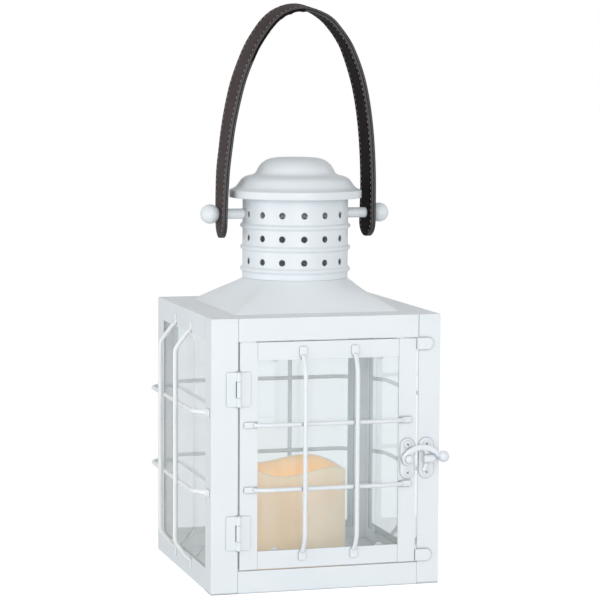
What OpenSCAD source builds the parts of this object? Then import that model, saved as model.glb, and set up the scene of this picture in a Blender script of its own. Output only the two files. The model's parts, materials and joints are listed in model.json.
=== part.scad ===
// Candle lantern: a square sheet-steel lantern with a latched glass door, a round
// vented chimney, a leather carrying strap and a battery pillar candle inside.
// Millimetres. +Z is up, the door faces -Y, and the origin is the middle of the floor's underside.

/* [Body] */
// Width and depth of the square body
body_w = 178; // [170:1:195]
// Height of the body, floor to roof edge
body_h = 206; // [190:1:230]
// Thickness of the frame's steel
sheet_t = 1.2; // [0.9:0.1:1.6]
// Height of the top and bottom rails
rail_h = 17; // [15:0.5:20]
// Front face of the post that carries the hinges
hinge_post_w = 20.5; // [19:0.5:23]
// Front face of the post that carries the keeper
latch_post_w = 17; // [16:0.5:18]
// Width of every other leg of the four posts
post_leg_w = 18; // [16:0.5:20]
// Painted joint line between a rail's end and a post
seam = 0.3; // [0.2:0.05:0.5]
// Thickness of the floor plate
floor_t = 1.2; // [0.8:0.1:2]

/* [Roof] */
// Width of the roof's square foot
roof_w = 128; // [116:1:136]
// Thickness of the roof sheet
roof_t = 1; // [0.8:0.1:1.4]
// How far the roof sheet laps over the frame's top flanges
roof_lap = 4; // [3:0.5:6]
// Height from the body's top to the chimney's lower edge
roof_rise = 22.5; // [18:0.5:30]
// How hollow the roof's slope is: 1 is straight
roof_hollow = 1.3; // [1:0.05:1.8]

/* [Chimney] */
// Outside diameter of the chimney
chimney_d = 82; // [76:1:88]
// Thickness of the chimney's wall
chimney_t = 1; // [0.8:0.1:1.4]
// Length of the neck that stands up inside the chimney
neck_h = 5; // [3:0.5:8]
// Height of the lowest bead above the chimney's lower edge
bead_first = 6.6; // [5:0.2:8]
// Height from one bead to the next
bead_pitch = 16.7; // [15:0.1:17.5]
// Thickness of a bead
bead_d = 3.4; // [2.4:0.2:4]
// Height of the lowest row of vent holes above the chimney's lower edge
hole_row_first = 13.3; // [12:0.1:15]
// Height from one row of vent holes to the next
hole_row_pitch = 18; // [17:0.1:19]
// Diameter of a vent hole
vent_hole_d = 5; // [4:0.1:6]
// Vent holes round each row
vent_holes = 15; // [11:2:17]

/* [Cap] */
// Diameter of the cap's rim
cap_d = 102.6; // [98:0.2:104]
// Height of the cap's upright rim
cap_rim_h = 6; // [4:0.5:8]
// Height of the rim's lower edge above the top row of vent holes
cap_gap = 12.4; // [10:0.2:15]
// Height of the cap above its rim
cap_rise = 25; // [22:0.5:30]
// Thickness of the cap's sheet
cap_t = 1; // [0.8:0.1:1.2]
// Radius of the flat crown
crown_r = 16.6; // [12:0.2:18]
// Radius at the foot of the upper dome
dome_r = 30; // [28:0.2:32]
// Radius of the lower shoulder
shoulder_r = 42; // [40.5:0.2:43]

/* [Door] */
// Gap between the hinge post and the door
door_gap_hinge = 1.2; // [1:0.1:1.5]
// Gap between the door and the latch post
door_gap_latch = 2.1; // [1.9:0.1:2.6]
// Gap above and below the door
door_gap_ends = 0.9; // [0.5:0.1:1.5]
// Thickness of the door's strips
door_t = 1.5; // [1.2:0.1:2]
// How far the door's face stands in front of the posts
door_proud = 0.5; // [0.3:0.1:0.8]
// Width of the door's stiles
stile_w = 13.6; // [13:0.2:15]
// Height of the door's rails
door_rail_h = 13.6; // [13:0.2:15]
// Depth of the flange folded back along the door's hinge, top and bottom edges
door_flange = 5; // [3:0.5:6]

/* [Glass] */
// Thickness of the glass
glass_t = 2; // [1.5:0.1:2.5]
// How far a fixed pane reaches behind the frame
glass_lap = 5; // [4:0.5:6]
// How far the door's pane reaches behind its strips
door_glass_lap = 4; // [3:0.2:4.4]
// Width of a glass tab
tab_w = 6.6; // [5:0.2:8]
// Thickness of a glass tab
tab_t = 0.8; // [0.6:0.1:1]
// Length of a glass tab's foot on the rail
tab_foot = 5; // [4:0.2:6]
// How far a tab's finger reaches past the pane's edge on the fixed panes
tab_grip = 4; // [3:0.2:5]
// How far a door tab shows past the door's rail
tab_show = 1.7; // [1:0.1:2.5]
// Distance of a tab from the middle of a fixed pane
tab_offset = 60; // [50:1:64]
// Distance of a tab from the middle of the door
door_tab_offset = 41; // [36:0.5:46]

/* [Guard rods] */
// Diameter of the guard rods
rod_d = 3.3; // [2.8:0.1:3.8]
// Width of a rod's flattened end
pad_w = 6.4; // [5:0.2:7]
// Length of a rod's flattened end
pad_l = 8.6; // [7:0.2:9]
// Thickness of a rod's flattened end
pad_t = 1.2; // [0.9:0.1:1.5]
// Distance between the two upright rods of a fixed side
side_rod_gap = 50; // [40:1:60]
// Distance between the two cross rods of a fixed side
side_cross_gap = 60.2; // [50:0.2:70]
// Height of a fixed side's cross rods above the body's middle
side_cross_lift = 2.6; // [0:0.2:6]
// Distance from a side's face to the middle of its upright rods
side_standoff = 12.5; // [11:0.5:15]
// Height from the body's edge to the tip of a side's upright rods
side_tip = 7.8; // [6:0.2:8]
// Distance from the body's edge to the tip of a side's cross rods
cross_tip = 5; // [4:0.5:7]
// Distance between the door's upright rods
door_rod_gap = 40.4; // [34:0.2:46]
// Distance between the door's cross rods
door_cross_gap = 48.6; // [40:0.2:52]
// Height of the door's cross rods below its middle
door_cross_drop = 0.7; // [0:0.1:2]
// Distance from the door's face to the middle of its upright rods
door_standoff = 7.5; // [6:0.1:9]
// Distance from the door's edge to the tip of its upright rods
door_tip = 4.6; // [4:0.1:5]
// Distance from the door's edge to the tip of its cross rods
door_cross_tip = 2.9; // [2:0.1:4]

/* [Hinges] */
// Height of a hinge
hinge_h = 25.4; // [20:0.2:30]
// Width of one hinge leaf from the pin's middle
leaf_w = 9.2; // [8:0.2:10]
// Thickness of a hinge leaf
leaf_t = 0.8; // [0.6:0.1:1]
// Diameter of a hinge knuckle
knuckle_d = 3.7; // [3.4:0.1:3.9]
// Height of the middle knuckle
mid_knuckle_h = 12; // [8:0.2:14]
// Diameter of the hinge pin
pin_d = 2; // [1.6:0.1:2.2]
// Height of the lower hinge's middle above the door's lower edge
low_hinge_rise = 28; // [20:0.1:36]
// Height of the upper hinge's middle below the door's upper edge
high_hinge_drop = 34.6; // [24:0.1:40]

/* [Latch] */
// Height of the latch's pivot below the door's middle
latch_drop = 6; // [0:0.5:8]
// Width of the latch plate and of the keeper plate
plate_w = 12; // [11:0.2:13]
// Height of the latch plate and of the keeper plate
plate_h = 30.6; // [28:0.2:31]
// Thickness of the latch plate and of the keeper plate
plate_t = 1.2; // [1:0.1:1.5]
// Distance between a plate's two screws
screw_gap = 21.6; // [20:0.2:23]
// Diameter of a screw's head
screw_head_d = 5.6; // [5:0.2:6]
// Diameter of a screw's shank
screw_d = 2.6; // [2:0.1:3]
// Diameter of the pivot rivet
rivet_d = 4; // [3:0.1:4.4]
// Diameter of the arm's eye
eye_d = 10.4; // [9:0.2:11]
// Thickness of the arm
arm_t = 3; // [2.6:0.1:3.4]
// Radius of the arm's bow
bow_r = 16.4; // [15.5:0.1:17]
// Width of the bow
bow_w = 3.9; // [3:0.1:4.4]
// Diameter of the arm's ball
latch_ball_d = 8.8; // [8:0.2:10]
// Radius of the arm's finger round the pivot
finger_r = 15; // [14.6:0.1:15.6]
// Width of the arm's finger
finger_w = 3; // [2.4:0.1:3.2]

/* [Handle] */
// Diameter of the rod through the chimney
handle_rod_d = 8; // [7:0.1:9]
// Diameter of the ball on each end of the rod
finial_d = 15; // [13:0.5:17]
// Distance between the middles of the two balls
finial_gap = 136.6; // [134:0.2:142]
// Width of the leather strap
strap_w = 24; // [20:0.5:26]
// Thickness of the strap's outer leather
strap_outer_t = 2.1; // [1.6:0.1:2.5]
// Thickness of the strap's lining leather
strap_lining_t = 1.9; // [1.4:0.1:2.3]
// Length of strap below the rod
strap_tail = 18.6; // [16:0.2:22]
// Height of the strap's crown above the rod
strap_rise = 161; // [130:1:190]
// Squareness of the strap's arch: 2 is an ellipse
strap_square = 2.3; // [2:0.05:2.6]
// How far the crown leans to the latch side
strap_lean = 2.4; // [0:0.2:4]

/* [Candle] */
// Diameter of the candle
candle_d = 80; // [76:1:84]
// Mean height of the candle's rim above its foot
candle_h = 79; // [74:0.5:86]
// How far the wavy rim rises and falls from its mean height
rim_wave = 3.2; // [1:0.2:5]
// Thickness of the wax wall at the glowing hollow
wax_t = 5; // [4:0.5:7]
// Depth of the glowing hollow below the mean rim
hollow_depth = 29; // [22:0.5:31]
// Thickness of the wax floor under the hollow
wax_web_t = 4; // [3:0.5:5]
// Diameter of the plastic base inside the wax
base_d = 64; // [62:0.5:66]
// Wall thickness of the plastic base
base_t = 1.6; // [1.2:0.1:2]
// Diameter of an AA cell
cell_d = 14.2; // [13.7:0.1:14.5]
// Length of an AA cell's can
cell_l = 49; // [48.5:0.1:49.5]
// Diameter of the lamp
lamp_d = 5; // [4.6:0.1:5.4]
// Travel of the candle's switch
switch_travel = 4; // [3:0.5:5]

/* [Clearances] */
// Space round a pin in its bore
running_gap = 0.06; // [0.03:0.01:0.09]
// Space between pieces that move past each other
moving_gap = 0.3; // [0.25:0.05:0.4]
// Space round a piece that is fixed in its seat
seat_gap = 0.1; // [0.05:0.05:0.15]

/* [Hidden] */
$fn = 64;
tiny = 0.01;
// A step that keeps two faces from lying in one plane
shy = 0.1;
half_w = body_w / 2;

// Openings and the door's outline, seen from the front
open_left = -half_w + hinge_post_w;
open_right = half_w - latch_post_w;
door_left = open_left + door_gap_hinge;
door_right = open_right - door_gap_latch;
door_low = rail_h + door_gap_ends;
door_high = body_h - rail_h - door_gap_ends;
door_mid_x = (door_left + door_right) / 2;
door_mid_z = (door_low + door_high) / 2;
door_face_y = -half_w - door_proud;
door_back_y = door_face_y + door_t;
side_open = half_w - post_leg_w;

// Roof, chimney and cap levels
flange_w = half_w - roof_w / 2 + roof_lap;
chimney_r = chimney_d / 2;
chimney_z = body_h + roof_rise;
neck_r = chimney_r - chimney_t - seat_gap;
handle_z = chimney_z + hole_row_first + 2 * hole_row_pitch;
cap_z = handle_z + cap_gap;
cap_r = cap_d / 2;

// Hinge line
low_hinge_z = door_low + low_hinge_rise;
high_hinge_z = door_high - high_hinge_drop;
knuckle_r = knuckle_d / 2;
hinge_x = open_left + shy;
hinge_y = door_face_y - knuckle_r - shy / 2;
pin_r = pin_d / 2;

// Latch
latch_z = door_mid_z - latch_drop;
latch_x = door_right - stile_w / 2;
keeper_inset = 0.3;
keeper_x = open_right + plate_w / 2 + keeper_inset;
boss_t = 0.8;
arm_back_y = door_face_y - plate_t - boss_t - moving_gap;
arm_front_y = arm_back_y - arm_t;
finger_t = 2.2;
finger_back_y = arm_back_y - shy;
finger_front_y = finger_back_y - finger_t;

// Strap
finial_x = finial_gap / 2;
strap_x = finial_x - finial_d / 2 - 0.4;
strap_t = strap_outer_t + strap_lining_t;

// Candle
candle_z = floor_t + seat_gap;
candle_r = candle_d / 2;
base_r = base_d / 2;
web_z = candle_z + candle_h - hollow_depth;
base_top_z = web_z - wax_web_t - seat_gap;

function circle_point(r, a) = [r * cos(a), r * sin(a)];
function flat(lists) = [for (list = lists) for (item = list) item];

// A closed band of rings: every ring has n points and the last ring meets the first
module ring_band(rings) {
    n = len(rings[0]);
    count = len(rings);
    polyhedron(points = flat(rings), faces = flat([for (i = [0:count - 1]) flat([for (j = [0:n - 1])
        let (a = i * n + j, b = i * n + (j + 1) % n,
             c = ((i + 1) % count) * n + (j + 1) % n, d = ((i + 1) % count) * n + j)
        [[a, b, c], [a, c, d]]])]));
}

// A smooth curve through control points, with steps points in each span
function spline(p, steps) = let (last = len(p) - 1) concat([for (i = [0:last - 1])
    let (a = p[max(i - 1, 0)], b = p[i], c = p[i + 1], d = p[min(i + 2, last)])
    for (s = [0:steps - 1]) let (u = s / steps)
    0.5 * (2 * b + (c - a) * u + (2 * a - 5 * b + 4 * c - d) * u * u
           + (3 * b - a - 3 * c + d) * u * u * u)], [p[last]]);
function unit(v) = v / norm(v);
// The curve moved sideways by d, to the right of its direction
function beside(p, d) = [for (i = [0:len(p) - 1])
    let (t = unit(p[min(i + 1, len(p) - 1)] - p[max(i - 1, 0)])) p[i] + d * [t[1], -t[0]]];

module rod_between(p, q, r) {
    v = q - p;
    translate(p) rotate([0, acos(v[2] / norm(v)), atan2(v[1], v[0])]) cylinder(h = norm(v), r = r);
}
module box(low, high) { translate(low) cube(high - low); }
module steel() { color([0.93, 0.94, 0.95]) children(); }
module glass() { color([0.85, 0.93, 0.9, 0.35]) children(); }
module to_right() { mirror([1, 0, 0]) children(); }
module to_back() { mirror([0, 1, 0]) children(); }
// Turns what is built on the -Y side to the left, the right or the back
module on_left() { rotate([0, 0, -90]) children(); }
module on_right() { rotate([0, 0, 90]) children(); }
module on_back() { rotate([0, 0, 180]) children(); }

// ---- frame ----
module angle_post(front_leg, side_leg) {
    translate([-half_w, -half_w, 0]) linear_extrude(body_h) union() {
        square([front_leg, sheet_t]);
        square([sheet_t, side_leg]);
    }
}
module hinge_post() { steel() angle_post(hinge_post_w, post_leg_w); }
module latch_post() {
    steel() difference() {
        to_right() angle_post(latch_post_w, post_leg_w);
        plate_screw_holes(keeper_x);
    }
}
module rear_left_post() { steel() to_back() angle_post(post_leg_w, post_leg_w); }
module rear_right_post() { steel() to_right() to_back() angle_post(post_leg_w, post_leg_w); }

// A rail of the -Y side, between the posts at x = from and x = to
module bottom_rail(from, to) { box([from + seam, -half_w, 0], [to - seam, -half_w + sheet_t, rail_h]); }
module top_rail(from, to) {
    inner = half_w - flange_w - seam;
    box([from + seam, -half_w, body_h - rail_h], [to - seam, -half_w + sheet_t, body_h]);
    box([-inner, -half_w, body_h - sheet_t], [inner, -half_w + flange_w, body_h]);
}
// The side rails' flanges run the full depth and fill the corners
module side_top_rail() {
    reach = half_w - sheet_t - seat_gap;
    end = side_open - seam;
    box([-half_w, -end, body_h - rail_h], [-half_w + sheet_t, end, body_h]);
    box([-half_w, -end, body_h - sheet_t], [-half_w + flange_w, end, body_h]);
    box([-half_w + sheet_t + seat_gap, -reach, body_h - sheet_t], [-half_w + flange_w, reach, body_h]);
}
module front_top_rail() { steel() top_rail(open_left, open_right); }
module front_bottom_rail() { steel() bottom_rail(open_left, open_right); }
module back_top_rail() { steel() on_back() top_rail(-side_open, side_open); }
module back_bottom_rail() { steel() on_back() bottom_rail(-side_open, side_open); }
module left_top_rail() { steel() side_top_rail(); }
module left_bottom_rail() { steel() on_left() bottom_rail(-side_open, side_open); }
module right_top_rail() { steel() to_right() side_top_rail(); }
module right_bottom_rail() { steel() on_right() bottom_rail(-side_open, side_open); }
module floor_plate() {
    half = half_w - sheet_t - seat_gap;
    steel() box([-half, -half, 0], [half, half, floor_t]);
}

// ---- roof: a square foot that turns into a round neck ----
roof_steps = 7;
roof_sides = 48;
function roof_radius(half, r, u, a) = (1 - u) * half / max(abs(cos(a)), abs(sin(a))) + u * r;
function roof_ring(half, r, u, z) = [for (j = [0:roof_sides - 1]) let (a = 360 * j / roof_sides)
    concat(circle_point(roof_radius(half, r, u, a), a), [z])];
module roof_sheet() {
    half = roof_w / 2;
    top = chimney_z + neck_h;
    slope_h = roof_rise - roof_t;
    outer = [for (i = [0:roof_steps]) let (u = i / roof_steps)
        roof_ring(half, neck_r, u, body_h + roof_t + slope_h * pow(u, roof_hollow))];
    inner = [for (i = [0:roof_steps]) let (u = 1 - i / roof_steps)
        roof_ring(half - roof_lap, neck_r - roof_t, u, body_h + slope_h * pow(u, roof_hollow))];
    steel() ring_band(concat([roof_ring(half, neck_r, 0, body_h)], outer,
        [roof_ring(half, neck_r, 1, top), roof_ring(half, neck_r - roof_t, 1, top)], inner));
}

// ---- chimney: vent holes are counted from the one beside the front's middle ----
first_hole_angle = -96;
rod_clear_angle = 8;
module chimney() {
    top = cap_z + cap_rim_h + chimney_seat_h() - chimney_z;
    steel() difference() {
        translate([0, 0, chimney_z]) rotate_extrude() union() {
            translate([chimney_r - chimney_t, 0]) square([chimney_t, top]);
            for (i = [0:2]) intersection() {
                translate([chimney_r + 0.2, bead_first + i * bead_pitch]) circle(d = bead_d);
                translate([chimney_r - chimney_t, 0]) square([bead_d, top]);
            }
        }
        for (row = [0:2], i = [0:vent_holes - 1]) let (a = first_hole_angle + 360 * i / vent_holes)
            if (row < 2 || abs(a) > rod_clear_angle)
            translate([0, 0, chimney_z + hole_row_first + row * hole_row_pitch])
            rotate([0, 90, a]) translate([0, 0, chimney_r - 2 * chimney_t])
            cylinder(h = 3 * chimney_t, d = vent_hole_d);
        for (side = [0, 180]) translate([0, 0, handle_z]) rotate([0, 90, side])
            translate([0, 0, chimney_r - 2 * chimney_t])
            cylinder(h = 3 * chimney_t, d = handle_rod_d + 2 * seat_gap);
    }
}

// ---- cap: the height of its outer skin above the rim's top edge, crown to rim ----
cap_curve = [[0, cap_rise], [crown_r, cap_rise - 0.3], [dome_r - 6, cap_rise - 3.4],
    [dome_r - 2.6, cap_rise - 6.6], [dome_r - 0.1, cap_rise - 10], [dome_r + 2.4, cap_rise - 12.7],
    [dome_r + 5.8, cap_rise - 13.8], [shoulder_r - 2.6, 9.8], [shoulder_r, 8.1],
    [shoulder_r + 2.3, 4.6], [shoulder_r + 4.2, 2.5], [cap_r - 2.7, 0.8], [cap_r - 0.4, 0]];
cap_skin = spline(cap_curve, 3);
// Height above the rim's top edge at which the chimney meets the cap's underside
function skin_height(p, r) = let (i = max([for (k = [0:len(p) - 2]) p[k][0] <= r ? k : 0]))
    p[i][1] + (p[i + 1][1] - p[i][1]) * (r - p[i][0]) / (p[i + 1][0] - p[i][0]);
function chimney_seat_h() = skin_height(beside(cap_skin, cap_t), chimney_r) - seat_gap;
module vent_cap() {
    underside = beside(cap_skin, cap_t);
    inside = [for (i = [len(underside) - 2:-1:1]) underside[i]];
    steel() translate([0, 0, cap_z + cap_rim_h]) rotate_extrude() polygon(concat(cap_skin,
        [[cap_r, -0.4], [cap_r, -cap_rim_h], [cap_r - cap_t, -cap_rim_h], [cap_r - cap_t, -cap_t]],
        inside, [[0, cap_rise - cap_t]]));
}

// ---- handle ----
// How far short of a ball's middle the rod ends
rod_sink = 2.5;
module handle_rod() {
    reach = finial_x - rod_sink;
    steel() rod_between([-reach, 0, handle_z], [reach, 0, handle_z], handle_rod_d / 2);
}
module finial() {
    bore_r = handle_rod_d / 2 + seat_gap / 2;
    difference() {
        translate([-finial_x, 0, handle_z]) sphere(d = finial_d);
        rod_between([-finial_x + rod_sink - seat_gap, 0, handle_z], [-strap_x, 0, handle_z], bore_r);
    }
}
module left_finial() { steel() finial(); }
module right_finial() { steel() to_right() finial(); }

// The strap's arch in its own plane: t runs 0 to 180 degrees, d is measured inwards
function signed_pow(v, e) = sign(v) * pow(abs(v), e);
function arch(t) = [strap_x * signed_pow(cos(t), 2 / strap_square) + strap_lean * sin(t),
    handle_z + strap_rise * signed_pow(sin(t), 2 / strap_square)];
arch_steps = 56;
// Steps are closer together near the legs' feet, where the curve turns straight
arch_line = [for (i = [0:arch_steps]) arch(90 - 90 * cos(180 * i / arch_steps))];
foot_z = handle_z + strap_w / 2 - strap_tail;
module strap_ply(depth, thick) {
    legs = concat([[strap_x, foot_z]], arch_line, [[-strap_x, foot_z]]);
    outer = beside(legs, -depth);
    inner = beside(legs, -depth - thick);
    difference() {
        union() {
            rotate([90, 0, 0]) linear_extrude(strap_w, center = true)
                polygon(concat(outer, [for (i = [len(inner) - 1:-1:0]) inner[i]]));
            for (side = [-1, 1]) translate([side * (strap_x - depth - thick / 2), 0, foot_z])
                rotate([0, 90, 0]) cylinder(h = thick, d = strap_w, center = true);
        }
        rod_between([-finial_x, 0, handle_z], [finial_x, 0, handle_z], handle_rod_d / 2 + running_gap);
    }
}
module strap_leather() { color([0.27, 0.23, 0.22]) strap_ply(0, strap_outer_t); }
module strap_lining() { color([0.24, 0.21, 0.2]) strap_ply(strap_outer_t, strap_lining_t); }

// ---- glass and its tabs ----
pane_y = -half_w + sheet_t + seat_gap;
pane_low = rail_h - glass_lap;
pane_high = body_h - rail_h + glass_lap;
module fixed_pane() {
    half = side_open + glass_lap;
    box([-half, pane_y, pane_low], [half, pane_y + glass_t, pane_high]);
}
// A bent tab whose foot lies on the face y = 0 and whose finger grips a pane above z = 0
module glass_tab(step, grip) {
    lip = step + tab_t;
    translate([-tab_w / 2, 0, -tab_foot]) cube([tab_w, tab_t, tab_foot]);
    translate([-tab_w / 2, 0, -tab_t - seat_gap]) cube([tab_w, lip, tab_t]);
    translate([-tab_w / 2, step, -tab_t - seat_gap]) cube([tab_w, tab_t, grip + tab_t - tab_w / 2]);
    translate([0, step, grip - tab_w / 2 - seat_gap]) rotate([-90, 0, 0])
        cylinder(h = tab_t, d = tab_w);
}
module tab_pair(offset, face_y, step, grip, low, high) {
    for (x = [-offset, offset]) {
        translate([x, face_y, low]) glass_tab(step, grip);
        translate([x, face_y, high]) mirror([0, 0, 1]) glass_tab(step, grip);
    }
}
module fixed_tabs() {
    tab_pair(tab_offset, -half_w + sheet_t, glass_t + 2 * seat_gap, tab_grip, pane_low, pane_high);
}
module left_pane() { glass() on_left() fixed_pane(); }
module right_pane() { glass() on_right() fixed_pane(); }
module back_pane() { glass() on_back() fixed_pane(); }
module left_pane_tabs() { steel() on_left() fixed_tabs(); }
module right_pane_tabs() { steel() on_right() fixed_tabs(); }
module back_pane_tabs() { steel() on_back() fixed_tabs(); }

// ---- guard rods: a rod along +Z on the face y = 0, bowed out to -Y ----
// How much fatter a rod is at its bends
bend_swell = 0.04;
module guard_rod(length, standoff, slope) {
    r = rod_d / 2;
    lie = [0, -r - 0.1, pad_l - r];
    out = [0, -standoff, pad_l + slope];
    for (flip = [0, 1]) translate([0, 0, flip * length]) mirror([0, 0, flip]) {
        difference() {
            translate([0, -pad_t / 2, pad_l / 2]) cube([pad_w, pad_t, pad_l], center = true);
            for (side = [-1, 1]) translate([side * pad_w / 2, 0, 0]) rotate([0, 45, 0])
                cube([1.4, 3 * pad_t, 1.4], center = true);
        }
        rod_between(lie, out, r);
        translate(lie) sphere(r = r + bend_swell);
        translate(out) sphere(r = r + bend_swell);
    }
    rod_between(out, [0, -standoff, length - out[2]], r);
}
side_slope = side_standoff - rod_d / 2 + 1.5;
cross_standoff = side_standoff - rod_d;
cross_slope = cross_standoff - rod_d / 2 + 1;
module side_uprights() {
    for (x = [-side_rod_gap / 2, side_rod_gap / 2])
        translate([x, -half_w, side_tip]) guard_rod(body_h - 2 * side_tip, side_standoff, side_slope);
}
module side_crosses() {
    for (z = [-side_cross_gap / 2, side_cross_gap / 2])
        translate([-half_w + cross_tip, -half_w, body_h / 2 + side_cross_lift + z])
        rotate([0, 90, 0]) guard_rod(body_w - 2 * cross_tip, cross_standoff, cross_slope);
}
module left_upright_rods() { steel() on_left() side_uprights(); }
module left_cross_rods() { steel() on_left() side_crosses(); }
module right_upright_rods() { steel() on_right() side_uprights(); }
module right_cross_rods() { steel() on_right() side_crosses(); }
module back_upright_rods() { steel() on_back() side_uprights(); }
module back_cross_rods() { steel() on_back() side_crosses(); }

// ---- hinges ----
module at_hinges() { for (z = [low_hinge_z, high_hinge_z]) translate([hinge_x, hinge_y, z]) children(); }
end_knuckle_h = (hinge_h - mid_knuckle_h) / 2;
// A knuckle with the curl that joins it to its leaf; side is -1 for the frame, 1 for the door
module knuckle(h, side, face) {
    difference() {
        union() {
            cylinder(h = h, r = knuckle_r, center = true);
            translate([side * knuckle_r / 2, face / 2, 0]) cube([knuckle_r, face, h], center = true);
        }
        cylinder(h = h + 1, r = pin_r + running_gap, center = true);
    }
}
module leaf(side, face) {
    near = knuckle_r + moving_gap;
    far = leaf_w;
    translate([side * (near + far) / 2, face - leaf_t / 2, 0])
        cube([far - near, leaf_t, hinge_h], center = true);
}
module knuckle_root(h, side, face) {
    translate([side * (knuckle_r + moving_gap), face - leaf_t / 2, 0])
        cube([2 * knuckle_r, leaf_t, h], center = true);
}
module frame_hinge_leaves() {
    face = -half_w - hinge_y;
    h = end_knuckle_h - moving_gap / 2;
    steel() at_hinges() {
        leaf(-1, face);
        for (side = [-1, 1]) translate([0, 0, side * (hinge_h - h) / 2]) {
            knuckle(h, -1, face);
            knuckle_root(h, -1, face);
        }
    }
}
module door_hinge_leaves() {
    face = door_face_y - hinge_y;
    h = mid_knuckle_h - moving_gap;
    steel() at_hinges() {
        leaf(1, face);
        knuckle(h, 1, face);
        knuckle_root(h, 1, face);
    }
}
module hinge_pins() {
    steel() at_hinges() {
        cylinder(h = hinge_h, r = pin_r, center = true);
        for (side = [-1, 1]) translate([0, 0, side * (hinge_h / 2 + 0.3)])
            cylinder(h = 0.6, r = pin_r + 0.4, center = true);
    }
}

// ---- door ----
// Three of the door's strips have a flange folded back from their outer edge
door_flange_t = 1.2;
module stile(x) { box([x, door_face_y, door_low], [x + stile_w, door_back_y, door_high]); }
module door_rail(z) {
    box([door_left + stile_w + seam / 2, door_face_y, z],
        [door_right - stile_w - seam / 2, door_back_y, z + door_rail_h]);
}
module door_hinge_stile() {
    steel() {
        stile(door_left);
        box([door_left, door_back_y - shy, door_low],
            [door_left + door_flange_t, door_back_y + door_flange, door_high]);
    }
}
module door_latch_stile() {
    steel() difference() {
        stile(door_right - stile_w);
        plate_screw_holes(latch_x);
        along_y(latch_x, latch_z, door_face_y - 1, door_back_y + 1, rivet_d / 2 + seat_gap);
    }
}
module rail_flange(z) {
    box([door_left + stile_w + seam / 2, door_back_y - shy, z],
        [door_right - stile_w - seam / 2, door_back_y + door_flange, z + door_flange_t]);
}
module door_top_rail() {
    steel() { door_rail(door_high - door_rail_h); rail_flange(door_high - door_flange_t); }
}
module door_bottom_rail() {
    steel() { door_rail(door_low); rail_flange(door_low); }
}
door_pane_low = door_low + door_rail_h - door_glass_lap;
door_pane_high = door_high - door_rail_h + door_glass_lap;
module door_pane() {
    y = door_back_y + seat_gap;
    glass() box([door_left + stile_w - door_glass_lap, y, door_pane_low],
        [door_right - stile_w + door_glass_lap, y + glass_t, door_pane_high]);
}
module door_pane_tabs() {
    steel() translate([door_mid_x, 0, 0]) tab_pair(door_tab_offset, door_back_y,
        glass_t + 2 * seat_gap, door_glass_lap + tab_show + seat_gap, door_pane_low, door_pane_high);
}
door_slope = 9;
door_cross_slope = 10;
door_cross_standoff = door_standoff - rod_d;
module door_upright_rods() {
    steel() for (x = [-door_rod_gap / 2, door_rod_gap / 2])
        translate([door_mid_x + x, door_face_y, door_low + door_tip])
        guard_rod(door_high - door_low - 2 * door_tip, door_standoff, door_slope);
}
module door_cross_rods() {
    steel() for (z = [-door_cross_gap / 2, door_cross_gap / 2])
        translate([door_left + door_cross_tip, door_face_y, door_mid_z - door_cross_drop + z])
        rotate([0, 90, 0])
        guard_rod(door_right - door_left - 2 * door_cross_tip, door_cross_standoff, door_cross_slope);
}
// Tabs welded behind the latch stile, stepped through the gap to lie in front of the post
stop_tab_w = 8.9;
stop_tab_t = 1;
stop_tab_inset = 4.1;
stop_tab_root = 6;
stop_tab_reach = 11;
module stop_tab() {
    step_x = door_right + (door_gap_latch - stop_tab_t) / 2 - 0.2;
    front_y = -half_w - moving_gap - stop_tab_t;
    tip_x = open_right + stop_tab_reach;
    half = stop_tab_w / 2;
    back_y = door_back_y + stop_tab_t;
    box([door_right - stop_tab_root, door_back_y, -half], [step_x + stop_tab_t, back_y, half]);
    box([step_x, front_y, -half], [step_x + stop_tab_t, back_y, half]);
    box([step_x, front_y, -half], [tip_x - half, front_y + stop_tab_t, half]);
    along_y(tip_x - half, 0, front_y, front_y + stop_tab_t, half);
}
module door_stop_tabs() {
    steel() for (z = [door_low + stop_tab_inset + 0.5, door_high - stop_tab_inset])
        translate([0, 0, z]) stop_tab();
}

// ---- latch ----
module along_y(x, z, y_from, y_to, r) { rod_between([x, y_from, z], [x, y_to, z], r); }
module plate_screw_holes(x) {
    for (z = [-screw_gap / 2, screw_gap / 2])
        along_y(x, latch_z + z, -half_w - 4, -half_w + 4, screw_d / 2 + seat_gap / 2);
}
module oblong_plate(x, face_y) {
    half = plate_h / 2 - plate_w / 2;
    box([x - plate_w / 2, face_y - plate_t, latch_z - half], [x + plate_w / 2, face_y, latch_z + half]);
    for (z = [-half, half]) along_y(x, latch_z + z, face_y - plate_t, face_y, plate_w / 2);
}
screw_head_t = 0.8;
// The cross slot in a screw's head, as cut across its face
slot_size = [0.8, 1, 3];
module plate_screws(x, face_y, depth) {
    for (z = [-screw_gap / 2, screw_gap / 2]) difference() {
        union() {
            along_y(x, latch_z + z, face_y - screw_head_t, face_y, screw_head_d / 2);
            along_y(x, latch_z + z, face_y, face_y + depth, screw_d / 2);
        }
        for (a = [20, 110]) translate([x, face_y - screw_head_t, latch_z + z]) rotate([0, a, 0])
            cube(slot_size, center = true);
    }
}
module latch_plate() {
    steel() difference() {
        union() {
            oblong_plate(latch_x, door_face_y);
            along_y(latch_x, latch_z, door_face_y - plate_t - boss_t, door_face_y, eye_d / 2 - 1);
        }
        plate_screw_holes(latch_x);
        along_y(latch_x, latch_z, door_face_y - 4, door_face_y + 1, rivet_d / 2 + seat_gap);
    }
}
module latch_screws() { steel() plate_screws(latch_x, door_face_y - plate_t, plate_t + door_t); }
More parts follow.
